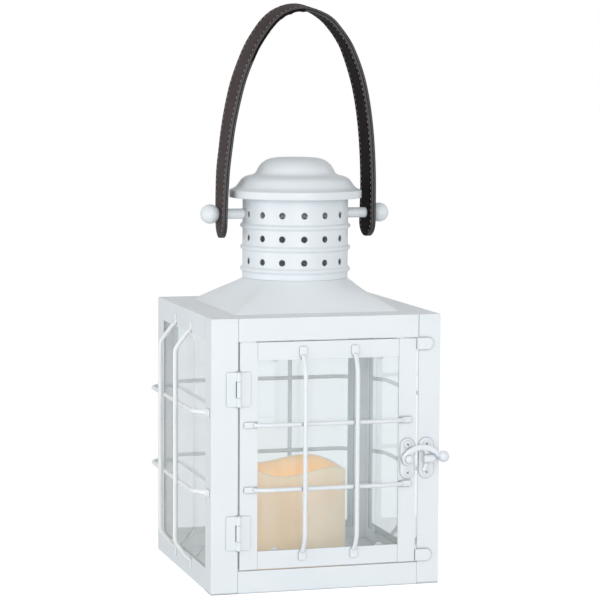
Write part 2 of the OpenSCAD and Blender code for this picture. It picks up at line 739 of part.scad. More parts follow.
module latch_rivet() {
    head_y = arm_front_y - moving_gap;
    head_r = rivet_d / 2 + 1.2;
    head_sink = 1.4;
    steel() {
        along_y(latch_x, latch_z, head_y, door_back_y, rivet_d / 2);
        intersection() {
            translate([latch_x, head_y + head_sink, latch_z]) sphere(r = head_r);
            along_y(latch_x, latch_z, head_y - head_r, head_y, eye_d / 2);
        }
    }
}
// Part of a flat ring in the plane of the door, angles from +X towards +Z
module bow(r, w, y_from, y_to, a_from, a_to) {
    translate([0, y_to, 0]) rotate([90, 0, 0]) rotate([0, 0, a_from])
        rotate_extrude(angle = a_to - a_from) translate([r - w / 2, 0]) square([w, y_to - y_from]);
}
// Middle of the bow and of the ball, from the pivot; the ball clears the door as it swings
bow_x = 10.9;
bow_z = -7.8;
ball_x = 27.6;
ball_z = 1.2;
ball_y = door_face_y - moving_gap - latch_ball_d / 2;
module latch_arm() {
    bow_ends = [36, 148];
    tip = -38;
    root = 34;
    end = circle_point(finger_r, tip + 1);
    steel() difference() {
        union() {
            along_y(latch_x, latch_z, arm_front_y, arm_back_y, eye_d / 2);
            translate([latch_x + bow_x, 0, latch_z + bow_z])
                bow(bow_r, bow_w, arm_front_y, arm_back_y, bow_ends[0], bow_ends[1]);
            translate([latch_x, 0, latch_z]) {
                bow(finger_r, finger_w, finger_front_y, finger_back_y, tip, root);
                along_y(end[0], end[1], finger_front_y, finger_back_y, finger_w / 2 + bend_swell);
            }
            translate([latch_x + ball_x, ball_y, latch_z + ball_z]) sphere(d = latch_ball_d);
        }
        along_y(latch_x, latch_z, arm_front_y - 1, arm_back_y + 1, rivet_d / 2 + running_gap);
    }
}
// The keeper's hook: a column beside the arm's finger, and a head that stands in front of it
hook_r = 2.9;
hook_reach = 5.6;
column_t = 2.4;
column_h = 4;
module keeper() {
    head_back = finger_front_y - moving_gap;
    head_y = head_back - 1.6;
    column_x = latch_x + finger_r + finger_w / 2 + moving_gap + 2 * shy;
    round_x = column_x + 0.8;
    steel() difference() {
        union() {
            oblong_plate(keeper_x, -half_w);
            box([column_x, head_y, latch_z - hook_r + shy],
                [column_x + column_t, -half_w, latch_z - hook_r + shy + column_h]);
            rod_between([column_x - hook_reach, head_y, latch_z], [round_x, head_y, latch_z], hook_r);
            translate([round_x, head_y, latch_z]) sphere(r = hook_r);
        }
        box([column_x - 2 * hook_reach, head_back, latch_z - 2 * hook_r],
            [column_x - tiny, -half_w - plate_t, latch_z + 2 * hook_r]);
        plate_screw_holes(keeper_x);
    }
}
module keeper_screws() { steel() plate_screws(keeper_x, -half_w - plate_t, plate_t + sheet_t + 2); }

// ---- candle ----
candle_sides = 40;
// Height of the wavy rim round the candle, angle from +X; three rises, the first at rim_turn
rim_turn = 56;
rim_edge = 1.2;
function rim_z(a) = candle_z + candle_h + rim_wave * cos(3 * (a - rim_turn));
function wax_ring(r, z) = [for (j = [0:candle_sides - 1])
    concat(circle_point(r, 360 * j / candle_sides), [z])];
function rim_ring(r, drop) = [for (j = [0:candle_sides - 1]) let (a = 360 * j / candle_sides)
    concat(circle_point(r, a), [rim_z(a) - drop])];
module candle_wax() {
    hole = lamp_d / 2 + 0.4;
    pocket = base_r + seat_gap;
    pocket_top = web_z - wax_web_t;
    inner = candle_r - wax_t;
    color([0.9, 0.83, 0.7]) ring_band([
        wax_ring(pocket, candle_z), wax_ring(candle_r - 1, candle_z), wax_ring(candle_r, candle_z + 1),
        rim_ring(candle_r, 0.6), rim_ring(candle_r - rim_edge, 0), rim_ring(candle_r - wax_t / 2, 2),
        rim_ring(inner, 8),
        wax_ring(inner, web_z + 3),
        wax_ring(inner - 3, web_z), wax_ring(hole, web_z), wax_ring(hole, pocket_top),
        wax_ring(pocket, pocket_top)]);
}
// The base's two wells: cells below, the lamp's board above
cell_gap = 0.5;
well_l = cell_l + 5;
well_w = 2 * cell_d + 3 * cell_gap;
cover_t = 2;
cover_sink = 0.5;
well_low = candle_z + cover_sink + cover_t + shy;
well_high = well_low + cell_d + 2 * cell_gap;
board_well_r = 14;
board_t = 1.6;
board_z = base_top_z - base_t - 5;
// The switch slides in a well in front of the cells; its nub stays above the candle's foot
switch_y = -well_w / 2 - 6;
switch_w = 5;
switch_l = 6;
switch_h = 5;
nub_sink = 0.6;
nub_h = 1.4;
module candle_base() {
    slot_half = switch_w / 2 + moving_gap;
    color([0.93, 0.92, 0.88]) difference() {
        translate([0, 0, candle_z]) cylinder(h = base_top_z - candle_z, r = base_r);
        box([-well_l / 2, -well_w / 2, candle_z - 1], [well_l / 2, well_w / 2, well_high]);
        translate([0, 0, well_high - 1]) cylinder(h = base_top_z - base_t - well_high + 1, r = board_well_r);
        translate([0, 0, base_top_z - base_t - 1]) cylinder(h = base_t + 2, r = lamp_d / 2 + seat_gap);
        box([-switch_l / 2 - moving_gap, switch_y - slot_half, candle_z - 1],
            [switch_l / 2 + switch_travel + moving_gap, switch_y + slot_half, candle_z + switch_h]);
    }
}
// The thumb grooves at the cover's end
grooves = 4;
groove_w = 0.8;
groove_l = 12;
module battery_cover() {
    z = candle_z + cover_sink;
    color([0.93, 0.92, 0.88]) difference() {
        box([-well_l / 2 + seat_gap, -well_w / 2 + seat_gap, z],
            [well_l / 2 - seat_gap, well_w / 2 - seat_gap, z + cover_t]);
        for (i = [1:grooves]) translate([well_l / 2 - 2 * i * groove_w - 1, 0, z])
            cube([groove_w, groove_l, groove_w], center = true);
    }
}
// The cells' button ends, and the contact plates at the ends of the well
button_d = 5.4;
button_l = 1.2;
contact_t = 0.4;
contact_h = 10;
contact_inset = 1;
spring_r = 3;
module battery_cells() {
    color([0.25, 0.3, 0.35]) for (side = [-1, 1])
        translate([0, side * (cell_d + cell_gap) / 2, well_low + cell_gap / 2 + cell_d / 2])
        rotate([0, side * 90, 0]) {
            translate([0, 0, -cell_l / 2]) cylinder(h = cell_l, d = cell_d);
            translate([0, 0, cell_l / 2]) cylinder(h = button_l, d = button_d);
        }
}
module battery_contacts() {
    mid_z = well_low + cell_gap / 2 + cell_d / 2;
    half = well_w / 2 - contact_inset;
    spring_y = (cell_d + cell_gap) / 2;
    color([0.8, 0.8, 0.78]) for (turn = [0, 180]) rotate([0, 0, turn]) {
        box([well_l / 2 - contact_t, -half, mid_z - contact_h / 2],
            [well_l / 2, half, mid_z + contact_h / 2]);
        rod_between([well_l / 2 - contact_t, -spring_y, mid_z], [cell_l / 2 + seat_gap, -spring_y, mid_z],
            spring_r);
    }
}
module lamp_board() {
    color([0.2, 0.45, 0.3]) translate([0, 0, board_z - board_t])
        cylinder(h = board_t, r = board_well_r - seat_gap);
}
module candle_lamp() {
    tip = web_z + 1.5;
    color([1, 0.85, 0.5]) {
        translate([0, 0, board_z]) cylinder(h = tip - board_z, d = lamp_d);
        translate([0, 0, tip]) sphere(d = lamp_d);
    }
}
module candle_switch() {
    low = candle_z + nub_sink;
    nub_w = switch_w - 2 * nub_sink;
    color([0.2, 0.2, 0.2]) {
        box([-switch_l / 2, switch_y - switch_w / 2, low + nub_h],
            [switch_l / 2, switch_y + switch_w / 2, candle_z + switch_h - moving_gap]);
        box([-nub_h, switch_y - nub_w / 2, low], [nub_h, switch_y + nub_w / 2, low + nub_h + shy]);
    }
}

hinge_post();
latch_post();
rear_left_post();
rear_right_post();
front_top_rail();
front_bottom_rail();
back_top_rail();
back_bottom_rail();
left_top_rail();
left_bottom_rail();
right_top_rail();
right_bottom_rail();
floor_plate();
roof_sheet();
chimney();
vent_cap();
handle_rod();
left_finial();
right_finial();
left_pane();
right_pane();
back_pane();
left_pane_tabs();
right_pane_tabs();
back_pane_tabs();
left_upright_rods();
left_cross_rods();
right_upright_rods();
right_cross_rods();
back_upright_rods();
back_cross_rods();
frame_hinge_leaves();
hinge_pins();
keeper();
keeper_screws();
door_hinge_stile();
door_latch_stile();
door_top_rail();
door_bottom_rail();
door_pane();
door_pane_tabs();
door_upright_rods();
door_cross_rods();
door_stop_tabs();
door_hinge_leaves();
latch_plate();
latch_screws();
latch_rivet();
latch_arm();
strap_leather();
strap_lining();
candle_wax();
candle_base();
battery_cover();
battery_cells();
battery_contacts();
candle_lamp();
lamp_board();
candle_switch();
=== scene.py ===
# %% [markdown]
# # A candle lantern in white powder coat
# The lantern is a square box of folded sheet steel with glass on four sides, wire guards, a
# vented chimney and a leather strap. A battery candle glows inside. Every size comes from the
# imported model, so this script only adds what the eye needs: soft edges, cast and pressed
# forms, stitching and finishes.

# %% Load the fixed frame
import json
import math
import bmesh
import bpy
from mathutils import Matrix, Vector, noise


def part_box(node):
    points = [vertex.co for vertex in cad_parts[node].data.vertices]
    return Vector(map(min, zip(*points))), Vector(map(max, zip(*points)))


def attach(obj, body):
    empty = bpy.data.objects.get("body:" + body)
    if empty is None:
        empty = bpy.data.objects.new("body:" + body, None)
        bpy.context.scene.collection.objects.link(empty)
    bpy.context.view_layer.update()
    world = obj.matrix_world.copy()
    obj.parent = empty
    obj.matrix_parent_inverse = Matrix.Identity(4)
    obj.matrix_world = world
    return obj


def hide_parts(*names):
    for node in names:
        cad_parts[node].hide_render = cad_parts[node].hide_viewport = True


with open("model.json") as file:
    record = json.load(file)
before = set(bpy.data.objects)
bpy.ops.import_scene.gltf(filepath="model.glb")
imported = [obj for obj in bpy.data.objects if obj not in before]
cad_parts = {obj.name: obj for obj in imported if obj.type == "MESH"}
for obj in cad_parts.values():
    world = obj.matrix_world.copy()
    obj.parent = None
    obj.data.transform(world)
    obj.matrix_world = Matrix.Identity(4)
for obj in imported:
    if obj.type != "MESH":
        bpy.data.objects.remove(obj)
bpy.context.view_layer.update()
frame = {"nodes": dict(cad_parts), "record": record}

# %% [markdown]
# ## The camera
# A product view is taken from far off with a long lens, so that upright edges stay nearly
# parallel. The camera is made first, because everything later is judged through it. Its
# place is given in metres, and its turn as three angles: round the lantern, down, and a
# very small roll.

# %% Place the camera
CAMERA_PLACE = (-0.5067, -1.7644, 0.3893)
CAMERA_ANGLES = (-16.15, 5.58, 0.33)
camera_data = bpy.data.cameras.new("product_camera")
camera_data.lens = 142.0
camera_data.sensor_width = 36.0
camera_data.clip_start = 0.05
camera_data.clip_end = 50.0
camera = bpy.data.objects.new("product_camera", camera_data)
bpy.context.scene.collection.objects.link(camera)
bpy.context.scene.camera = camera

turn, dip, roll = (math.radians(angle) for angle in CAMERA_ANGLES)
ahead = Vector((-math.sin(turn) * math.cos(dip), math.cos(turn) * math.cos(dip), -math.sin(dip)))
level = Vector((math.cos(turn), math.sin(turn), 0.0))
above = level.cross(ahead)
right = math.cos(roll) * level + math.sin(roll) * above
upward = -math.sin(roll) * level + math.cos(roll) * above
axes = Matrix((right, upward, -ahead)).transposed().to_4x4()
camera.matrix_world = Matrix.Translation(CAMERA_PLACE) @ axes
print("camera looks along", tuple(round(v, 3) for v in ahead))

# %% [markdown]
# ## Floor, sky and lamps
# White paint in front of white needs light that comes from everywhere, with a little more
# from the front so that the front face is the brightest. The sky gives the even part. What
# the camera or a pane sees of it is plain white, while the light that it casts is lower and
# falls off towards the top. The Light Path node tells these rays apart. The floor does the
# same and still takes the lantern's shadow.

# %% Light the set
SKY_AT_HORIZON, SKY_AT_TOP = 0.83, 0.53


def computed(nodes, links, operation, *values):
    """The result of a Math node. Each value is a number or another node's output."""
    work = nodes.new("ShaderNodeMath")
    work.operation = operation
    for socket, value in zip(work.inputs, values):
        if isinstance(value, float):
            socket.default_value = value
        else:
            links.new(value, socket)
    return work.outputs[0]


def seen_ray(nodes, links):
    """1 for camera and glass rays, and 0 for mirror rays and those that light other surfaces."""
    path = nodes.new("ShaderNodeLightPath")
    return computed(nodes, links, "MAXIMUM", path.outputs["Is Camera Ray"],
                    path.outputs["Is Transmission Ray"])


world = bpy.data.worlds.new("white_sky")
bpy.context.scene.world = world
world.use_nodes = True
sky_nodes, sky_links = world.node_tree.nodes, world.node_tree.links
sky = sky_nodes["Background"]
sky.inputs["Color"].default_value = (1.0, 1.0, 1.0, 1.0)
sky_place = sky_nodes.new("ShaderNodeTexCoord")
sky_split = sky_nodes.new("ShaderNodeSeparateXYZ")
sky_links.new(sky_place.outputs["Generated"], sky_split.inputs["Vector"])
sky_fall = sky_nodes.new("ShaderNodeMapRange")
sky_fall.inputs["To Min"].default_value = SKY_AT_HORIZON
sky_fall.inputs["To Max"].default_value = SKY_AT_TOP
sky_links.new(sky_split.outputs["Z"], sky_fall.inputs["Value"])
sky_mix = sky_nodes.new("ShaderNodeMapRange")
sky_mix.inputs["To Max"].default_value = 1.0
sky_links.new(seen_ray(sky_nodes, sky_links), sky_mix.inputs["Value"])
sky_links.new(sky_fall.outputs["Result"], sky_mix.inputs["To Min"])
sky_links.new(sky_mix.outputs["Result"], sky.inputs["Strength"])


def lamp(name, place, aim, size, power, tint):
    """A square soft box that shines from place towards aim."""
    data = bpy.data.lights.new(name, "AREA")
    data.size = size
    data.energy = power
    data.color = tint
    obj = bpy.data.objects.new(name, data)
    bpy.context.scene.collection.objects.link(obj)
    obj.location = place
    obj.rotation_euler = (Vector(aim) - Vector(place)).to_track_quat("-Z", "Y").to_euler()


lamp("front_box", (-0.15, -1.85, 0.45), (0.0, 0.0, 0.15), 1.0, 11.6, (0.98, 0.99, 1.0))
lamp("side_box", (-1.7, -0.5, 0.35), (0.0, 0.0, 0.12), 0.9, 7.4, (0.95, 0.985, 1.0))

# %% Lay the floor
PAPER_GLOW = 0.47
floor_bm = bmesh.new()
bmesh.ops.create_grid(floor_bm, x_segments=1, y_segments=1, size=6.0)
floor_mesh = bpy.data.meshes.new("floor")
floor_bm.to_mesh(floor_mesh)
floor_bm.free()
floor = bpy.data.objects.new("floor", floor_mesh)
bpy.context.scene.collection.objects.link(floor)
floor_paper = bpy.data.materials.new("white_paper")
floor_paper.use_nodes = True
paper_nodes, paper_links = floor_paper.node_tree.nodes, floor_paper.node_tree.links
paper = paper_nodes["Principled BSDF"]
paper.inputs["Base Color"].default_value = (0.86, 0.87, 0.88, 1.0)
paper.inputs["Roughness"].default_value = 0.9
paper.inputs["Specular IOR Level"].default_value = 0.1
paper.inputs["Emission Color"].default_value = (1.0, 1.0, 1.0, 1.0)
paper_lift = computed(paper_nodes, paper_links, "MULTIPLY",
                      seen_ray(paper_nodes, paper_links), PAPER_GLOW)
paper_links.new(paper_lift, paper.inputs["Emission Strength"])
floor_mesh.materials.append(floor_paper)
bpy.context.scene.view_settings.view_transform = "Standard"

# %% [markdown]
# ## Finishes
# Each finish is a small network of nodes on Object coordinates. Object coordinates are in
# metres here, so a noise of scale 900 has grains of about a millimetre. Powder coat is
# sprayed dry and baked, which leaves a faint orange peel: a bump, a roughness that drifts,
# and a colour that is never quite even. A narrow seam and the foot of a casting lie in shade,
# and the coats of the front pieces have this shade painted in: they turn blue-grey where the
# Ambient Occlusion node finds another surface within two or three millimetres.

# %% Helpers for finishes
def finish(name):
    """A new material with its nodes, its links and its Principled shader."""
    made = bpy.data.materials.new(name)
    made.use_nodes = True
    nodes, links = made.node_tree.nodes, made.node_tree.links
    return made, nodes, links, nodes["Principled BSDF"]


def grain(nodes, links, scale, detail=3.0, stretch=(1.0, 1.0, 1.0)):
    """The value of a noise on Object coordinates, in metres, stretched by the Mapping node."""
    place = nodes.new("ShaderNodeTexCoord")
    turned = nodes.new("ShaderNodeMapping")
    turned.inputs["Scale"].default_value = stretch
    cloud = nodes.new("ShaderNodeTexNoise")
    cloud.inputs["Scale"].default_value = scale
    cloud.inputs["Detail"].default_value = detail
    links.new(place.outputs["Object"], turned.inputs["Vector"])
    links.new(turned.outputs["Vector"], cloud.inputs["Vector"])
    return cloud.outputs["Fac"]


def ranged(nodes, links, value, low, high, start=0.3, end=0.7):
    """Maps start..end of a value to low..high."""
    spread = nodes.new("ShaderNodeMapRange")
    spread.inputs["From Min"].default_value = start
    spread.inputs["From Max"].default_value = end
    spread.inputs["To Min"].default_value = low
    spread.inputs["To Max"].default_value = high
    links.new(value, spread.inputs["Value"])
    return spread.outputs["Result"]


def tinted(nodes, links, value, colours, stops=(0.3, 0.7)):
    """A colour ramp over a value."""
    ramp = nodes.new("ShaderNodeValToRGB")
    for element, colour, stop in zip(ramp.color_ramp.elements, colours, stops):
        element.color = (*colour, 1.0)
        element.position = stop
    links.new(value, ramp.inputs["Fac"])
    return ramp.outputs["Color"]


def bumped(nodes, links, shader, value, strength, depth):
    """Feeds a height into the shader's normal; depth is in metres."""
    bump = nodes.new("ShaderNodeBump")
    bump.inputs["Strength"].default_value = strength
    bump.inputs["Distance"].default_value = depth
    links.new(value, bump.inputs["Height"])
    links.new(bump.outputs["Normal"], shader.inputs["Normal"])


# %% White powder coat
WHITE, WHITE_SHADE = (0.80, 0.84, 0.865), (0.765, 0.81, 0.84)
SHEET_GLOSS, CAST_GLOSS = 0.36, 0.30


def painted_seam_shade(nodes, links, colour, crevice, reach, spread):
    """Paints shade into a colour: goes over from it to the crevice shade colour where other
    surfaces lie within spread metres. reach holds the shares of open sky at the dark end and
    at the plain end."""
    corner = nodes.new("ShaderNodeAmbientOcclusion")
    corner.samples = 8
    corner.inputs["Distance"].default_value = spread
    mix = nodes.new("ShaderNodeMix")
    mix.data_type = "RGBA"
    factor, colour_a, colour_b = (mix.inputs[i] for i in (0, 6, 7))
    colour_a.default_value = (*crevice, 1.0)
    links.new(ranged(nodes, links, corner.outputs["AO"], 0.0, 1.0, *reach), factor)
    links.new(colour, colour_b)
    return mix.outputs[2]


def powder_coat(name, light, shade, gloss, *seams):
    """White coat with an orange peel and a drifting gloss. seams, if given, holds the crevice
    colour, the reach and the spread with which shade is painted in near other surfaces."""
    made, nodes, links, shader = finish(name)
    colour = tinted(nodes, links, grain(nodes, links, 14.0, 4.0), (shade, light))
    if seams:
        colour = painted_seam_shade(nodes, links, colour, *seams)
    links.new(colour, shader.inputs["Base Color"])
    links.new(ranged(nodes, links, grain(nodes, links, 160.0), gloss - 0.05, gloss + 0.07),
              shader.inputs["Roughness"])
    shader.inputs["Specular IOR Level"].default_value = 0.45
    bumped(nodes, links, shader, grain(nodes, links, 750.0, 2.0), 0.22, 0.00006)
    return made


white_coat = powder_coat("white_powder_coat", WHITE, WHITE_SHADE, SHEET_GLOSS)
# Painted shade: these coats, and the coat on castings, darken near other surfaces
seam_shaded_coat = powder_coat("white_coat_painted_seam_shade", WHITE, WHITE_SHADE, SHEET_GLOSS,
                        (0.05, 0.07, 0.10), (0.10, 0.80), 0.0022)
hinge_shaded_coat = powder_coat("white_coat_painted_hinge_shade", WHITE, WHITE_SHADE, SHEET_GLOSS,
                              (0.04, 0.05, 0.09), (0.30, 0.84), 0.0028)
latch_shaded_coat = powder_coat("white_coat_painted_shade_round_castings", WHITE, WHITE_SHADE, SHEET_GLOSS,
                              (0.08, 0.11, 0.16), (0.28, 0.94), 0.0024)
turned_coat = powder_coat("white_coat_turned_sheet", (0.76, 0.80, 0.825), (0.73, 0.775, 0.805),
                          SHEET_GLOSS)
# The castings' coat also darkens near other surfaces, as painted shade
cast_shaded_coat = powder_coat("white_coat_on_castings_painted_shade", (0.81, 0.845, 0.87), (0.77, 0.81, 0.845),
                        CAST_GLOSS, (0.10, 0.14, 0.19), (0.28, 0.95), 0.0018)
# Painted light: the wires' coat is a lighter copy of the white, so that dim rods look bright
lit_wire_coat = powder_coat("white_coat_on_wires_painted_light", (0.89, 0.90, 0.905), (0.85, 0.87, 0.88),
                        CAST_GLOSS)
# Painted shade: the chimney's inside is dark grey, so that the vent holes look dark
inside_painted_shade = powder_coat("chimney_inside_painted_shade", (0.34, 0.36, 0.38), (0.28, 0.30, 0.32), 0.5)
print("powder coats:", white_coat.name, turned_coat.name, seam_shaded_coat.name, cast_shaded_coat.name)

# %% [markdown]
# Clear glass is a Principled shader that bends light and lets most of it through. A pane
# would shut the lamps out of the box behind it, so rays that look for a lamp meet a
# Transparent shader instead. Real float glass is never quite flat, and a very shallow wave
# in its normal keeps its reflections alive.

# %% Clear glass
def float_glass(name, tint):
    """Glass that bends what is seen through it and lets the lamps' light straight in."""
    made, nodes, links, shader = finish(name)
    shader.inputs["Base Color"].default_value = (*tint, 1.0)
    shader.inputs["Transmission Weight"].default_value = 1.0
    shader.inputs["Roughness"].default_value = 0.0
    shader.inputs["IOR"].default_value = 1.5
    bumped(nodes, links, shader, grain(nodes, links, 9.0, 1.0), 0.06, 0.0008)
    path = nodes.new("ShaderNodeLightPath")
    soft_ray = computed(nodes, links, "MAXIMUM", path.outputs["Is Shadow Ray"],
                        path.outputs["Is Diffuse Ray"])
    open_air = nodes.new("ShaderNodeBsdfTransparent")
    open_air.inputs["Color"].default_value = (0.98, 0.985, 0.985, 1.0)
    either = nodes.new("ShaderNodeMixShader")
    links.new(soft_ray, either.inputs["Fac"])
    links.new(shader.outputs["BSDF"], either.inputs[1])
    links.new(open_air.outputs["BSDF"], either.inputs[2])
    links.new(either.outputs["Shader"], nodes["Material Output"].inputs["Surface"])
    return made


# The left pane is tinted darker as painted shade, and the right one lighter as painted light
pane_glass = float_glass("clear_float_glass", (0.868, 0.90, 0.91))
right_glass_painted_light = float_glass("clear_float_glass_right_painted_light", (0.892, 0.924, 0.932))
left_glass_painted_shade = float_glass("clear_float_glass_left_painted_shade", (0.82, 0.865, 0.875))

# %% [markdown]
# Leather has pores and creases of two sizes: a Voronoi cell pattern gives the grain, and a
# broad noise the unevenness of the dye. The cut edges are sealed with a smooth grey paint.

# %% Leather, edge paint and thread
def leather(name, dark, light, cell, shine):
    """Grained leather. cell is the number of pores in a metre."""
    made, nodes, links, shader = finish(name)
    cloud = grain(nodes, links, 55.0, 5.0)
    links.new(tinted(nodes, links, cloud, (dark, light)), shader.inputs["Base Color"])
    links.new(ranged(nodes, links, grain(nodes, links, 300.0), 0.55, 0.68),
              shader.inputs["Roughness"])
    shader.inputs["Specular IOR Level"].default_value = shine
    place = nodes.new("ShaderNodeTexCoord")
    pores = nodes.new("ShaderNodeTexVoronoi")
    pores.feature = "DISTANCE_TO_EDGE"
    pores.inputs["Scale"].default_value = cell
    links.new(place.outputs["Object"], pores.inputs["Vector"])
    creased = ranged(nodes, links, pores.outputs["Distance"], 0.0, 1.0, 0.0, 0.25)
    bumped(nodes, links, shader, creased, 0.16, 0.00008)
    return made


outer_leather = leather("brown_leather", (0.046, 0.032, 0.032), (0.062, 0.045, 0.046),
                        900.0, 0.12)
# The lining is much darker than the outer ply: partly a darker leather and partly painted shade
lining_leather = leather("brown_lining_leather_and_painted_shade", (0.009, 0.006, 0.006), (0.015, 0.011, 0.012),
                         700.0, 0.05)


def smooth_coat(name, dark, light, gloss, grain_size=400.0, depth=0.00003):
    """A plain moulded, painted or plated finish with a little drift in colour and gloss."""
    made, nodes, links, shader = finish(name)
    links.new(tinted(nodes, links, grain(nodes, links, grain_size / 12.0, 3.0), (dark, light)),
              shader.inputs["Base Color"])
    drift = grain(nodes, links, grain_size / 3.0)
    links.new(ranged(nodes, links, drift, gloss - 0.05, gloss + 0.05), shader.inputs["Roughness"])
    bumped(nodes, links, shader, grain(nodes, links, grain_size, 2.0), 0.3, depth)
    return made, shader


edge_paint, _ = smooth_coat("grey_edge_paint", (0.034, 0.032, 0.034), (0.048, 0.045, 0.047), 0.38)
thread, _ = smooth_coat("waxed_thread", (0.20, 0.155, 0.135), (0.34, 0.275, 0.245), 0.6,
                        2400.0, 0.00006)
print("strap finishes:", outer_leather.name, lining_leather.name, edge_paint.name, thread.name)

# %% [markdown]
# Wax lets light wander under its surface, which the shader's subsurface part does. The
# candle is lit from inside by a small lamp, and the glow that this gives the wax is painted
# light, an emission: in the hollow most at its floor and less towards the rim, and outside
# most at the top.

# %% Wax that glows from inside
def wax(name, warm, pale, glow_colour, glow, glow_from, glow_to):
    """Wax with a painted glow, an emission that grows from glow_from to glow_to, two heights in
    metres. Its colour drifts from warm on the left to pale on the right, painted light and
    shade over a random drift in tone."""
    made, nodes, links, shader = finish(name)
    place = nodes.new("ShaderNodeTexCoord")
    split = nodes.new("ShaderNodeSeparateXYZ")
    links.new(place.outputs["Object"], split.inputs["Vector"])
    # Painted light and shade: the wax is warm on the left and pale on the right
    sideways = computed(nodes, links, "ADD",
                        ranged(nodes, links, split.outputs["X"], 0.0, 1.0, -0.03, 0.03),
                        ranged(nodes, links, grain(nodes, links, 26.0, 4.0), -0.2, 0.2))
    links.new(tinted(nodes, links, sideways, (warm, pale), (0.2, 0.8)),
              shader.inputs["Base Color"])
    shader.inputs["Subsurface Weight"].default_value = 0.35
    shader.inputs["Subsurface Radius"].default_value = (0.009, 0.005, 0.002)
    shader.inputs["Subsurface Scale"].default_value = 1.0
    shader.inputs["Roughness"].default_value = 0.42
    bumped(nodes, links, shader, grain(nodes, links, 120.0, 3.0), 0.18, 0.0002)
    # The glow is painted light: an emission that stands in for the lamp's light in the wax
    height = ranged(nodes, links, split.outputs["Z"], 0.0, 1.0, glow_from, glow_to)
    fade = computed(nodes, links, "POWER", height, 1.5)
    strength = computed(nodes, links, "MULTIPLY", fade, glow)
    streaks = grain(nodes, links, 60.0, 2.0, (1.0, 1.0, 0.25))
    brighter = tuple(0.5 + 0.5 * c for c in glow_colour)
    links.new(tinted(nodes, links, streaks, (glow_colour, brighter), (0.45, 0.62)),
              shader.inputs["Emission Color"])
    links.new(strength, shader.inputs["Emission Strength"])
    return made


outer_wax = wax("ivory_wax", (0.79, 0.62, 0.435), (0.885, 0.775, 0.605),
                (1.0, 0.70, 0.46), 0.21, -0.30, 0.12)
inner_wax = wax("glowing_wax", (0.84, 0.69, 0.48), (0.84, 0.68, 0.48),
                (1.0, 0.55, 0.22), 0.50, 0.11, 0.045)
rim_wax = wax("pale_rim_wax", (0.80, 0.78, 0.73), (0.82, 0.81, 0.78),
              (1.0, 0.85, 0.7), 0.10, -0.30, 0.12)

# %% Plastics, plating, lamp and board
ivory_plastic, _ = smooth_coat("ivory_plastic", (0.74, 0.70, 0.61), (0.80, 0.765, 0.68), 0.45)
black_plastic, _ = smooth_coat("black_plastic", (0.018, 0.018, 0.02), (0.035, 0.035, 0.037), 0.4)
cell_film, _ = smooth_coat("cell_film", (0.045, 0.06, 0.08), (0.075, 0.095, 0.12), 0.25)
plating, plating_shader = smooth_coat("nickel_plating", (0.62, 0.61, 0.58), (0.74, 0.73, 0.70),
                                      0.25)
plating_shader.inputs["Metallic"].default_value = 1.0
board_lacquer, _ = smooth_coat("green_board_lacquer", (0.02, 0.12, 0.055),
                               (0.035, 0.18, 0.085), 0.3)
lamp_lens, lens_shader = smooth_coat("warm_lamp_lens", (0.95, 0.62, 0.28), (1.0, 0.72, 0.36), 0.2)
lens_shader.inputs["Emission Color"].default_value = (1.0, 0.6, 0.25, 1.0)
lens_shader.inputs["Emission Strength"].default_value = 2.0
print("finishes:", len(bpy.data.materials))

# %% [markdown]
# ## Folded sheet
# Posts, rails and strips are cut from sheet and folded, and thick paint rounds every edge.
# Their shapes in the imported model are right, so a copy of each is welded into one skin, its
# flat faces are joined, and its edges are bevelled. A bevel of a few tenths of a millimetre
# is what catches the light along an edge. Weighted normals keep the large faces flat.

# %% Helpers that finish a piece
MM = 0.001
SHARP_ANGLE = 35.0


def place_piece(name, bm, body, coat, stands_for=(), smooth=40.0, weighted=False):
    """Turns a bmesh in millimetres into a piece that rides on a body and stands for nodes."""
    bmesh.ops.scale(bm, vec=(MM, MM, MM), verts=bm.verts)
    mesh = bpy.data.meshes.new(name)
    bm.to_mesh(mesh)
    bm.free()
    mesh.polygons.foreach_set("use_smooth", [True] * len(mesh.polygons))
    mesh.set_sharp_from_angle(angle=math.radians(smooth))
    for one in coat if isinstance(coat, tuple) else (coat,):
        mesh.materials.append(one)
    obj = bpy.data.objects.new(name, mesh)
    bpy.context.scene.collection.objects.link(obj)
    if weighted:
        even = obj.modifiers.new("flat_faces", "WEIGHTED_NORMAL")
        even.keep_sharp = True
    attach(obj, body)
    if stands_for:
        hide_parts(*stands_for)
    return obj


def merge_into(bm, part):
    """Adds the bmesh part to bm and frees it."""
    mesh = bpy.data.meshes.new("part")
    part.to_mesh(mesh)
    part.free()
    bm.from_mesh(mesh)
    bpy.data.meshes.remove(mesh)


def welded(node):
    """A copy of a CAD node in millimetres, its loose triangles welded and flat faces joined."""
    bm = bmesh.new()
    bm.from_mesh(frame["nodes"][node].data)
    bmesh.ops.scale(bm, vec=(1 / MM, 1 / MM, 1 / MM), verts=bm.verts)
    bmesh.ops.remove_doubles(bm, verts=bm.verts, dist=0.003)
    bmesh.ops.dissolve_limit(bm, angle_limit=math.radians(0.5), verts=bm.verts, edges=bm.edges)
    return bm


BODY_OF = {node: body for body, nodes in frame["record"]["behaviour"]["bodies"].items()
           for node in nodes}


def soften_node(node, width, coat, steps=3, stretch=None):
    """Stands a welded and bevelled copy in for a node. stretch may move its points first."""
    bm = welded(node)
    if stretch:
        stretch(bm)
    sharp = [e for e in bm.edges
             if len(e.link_faces) == 2 and e.calc_face_angle() > math.radians(SHARP_ANGLE)]
    bmesh.ops.bevel(bm, geom=sharp, offset=width, offset_type="OFFSET", segments=steps,
                    profile=0.5, affect="EDGES", material=-1, clamp_overlap=True)
    place_piece(node + "_painted", bm, BODY_OF[node], coat, (node,), weighted=True)


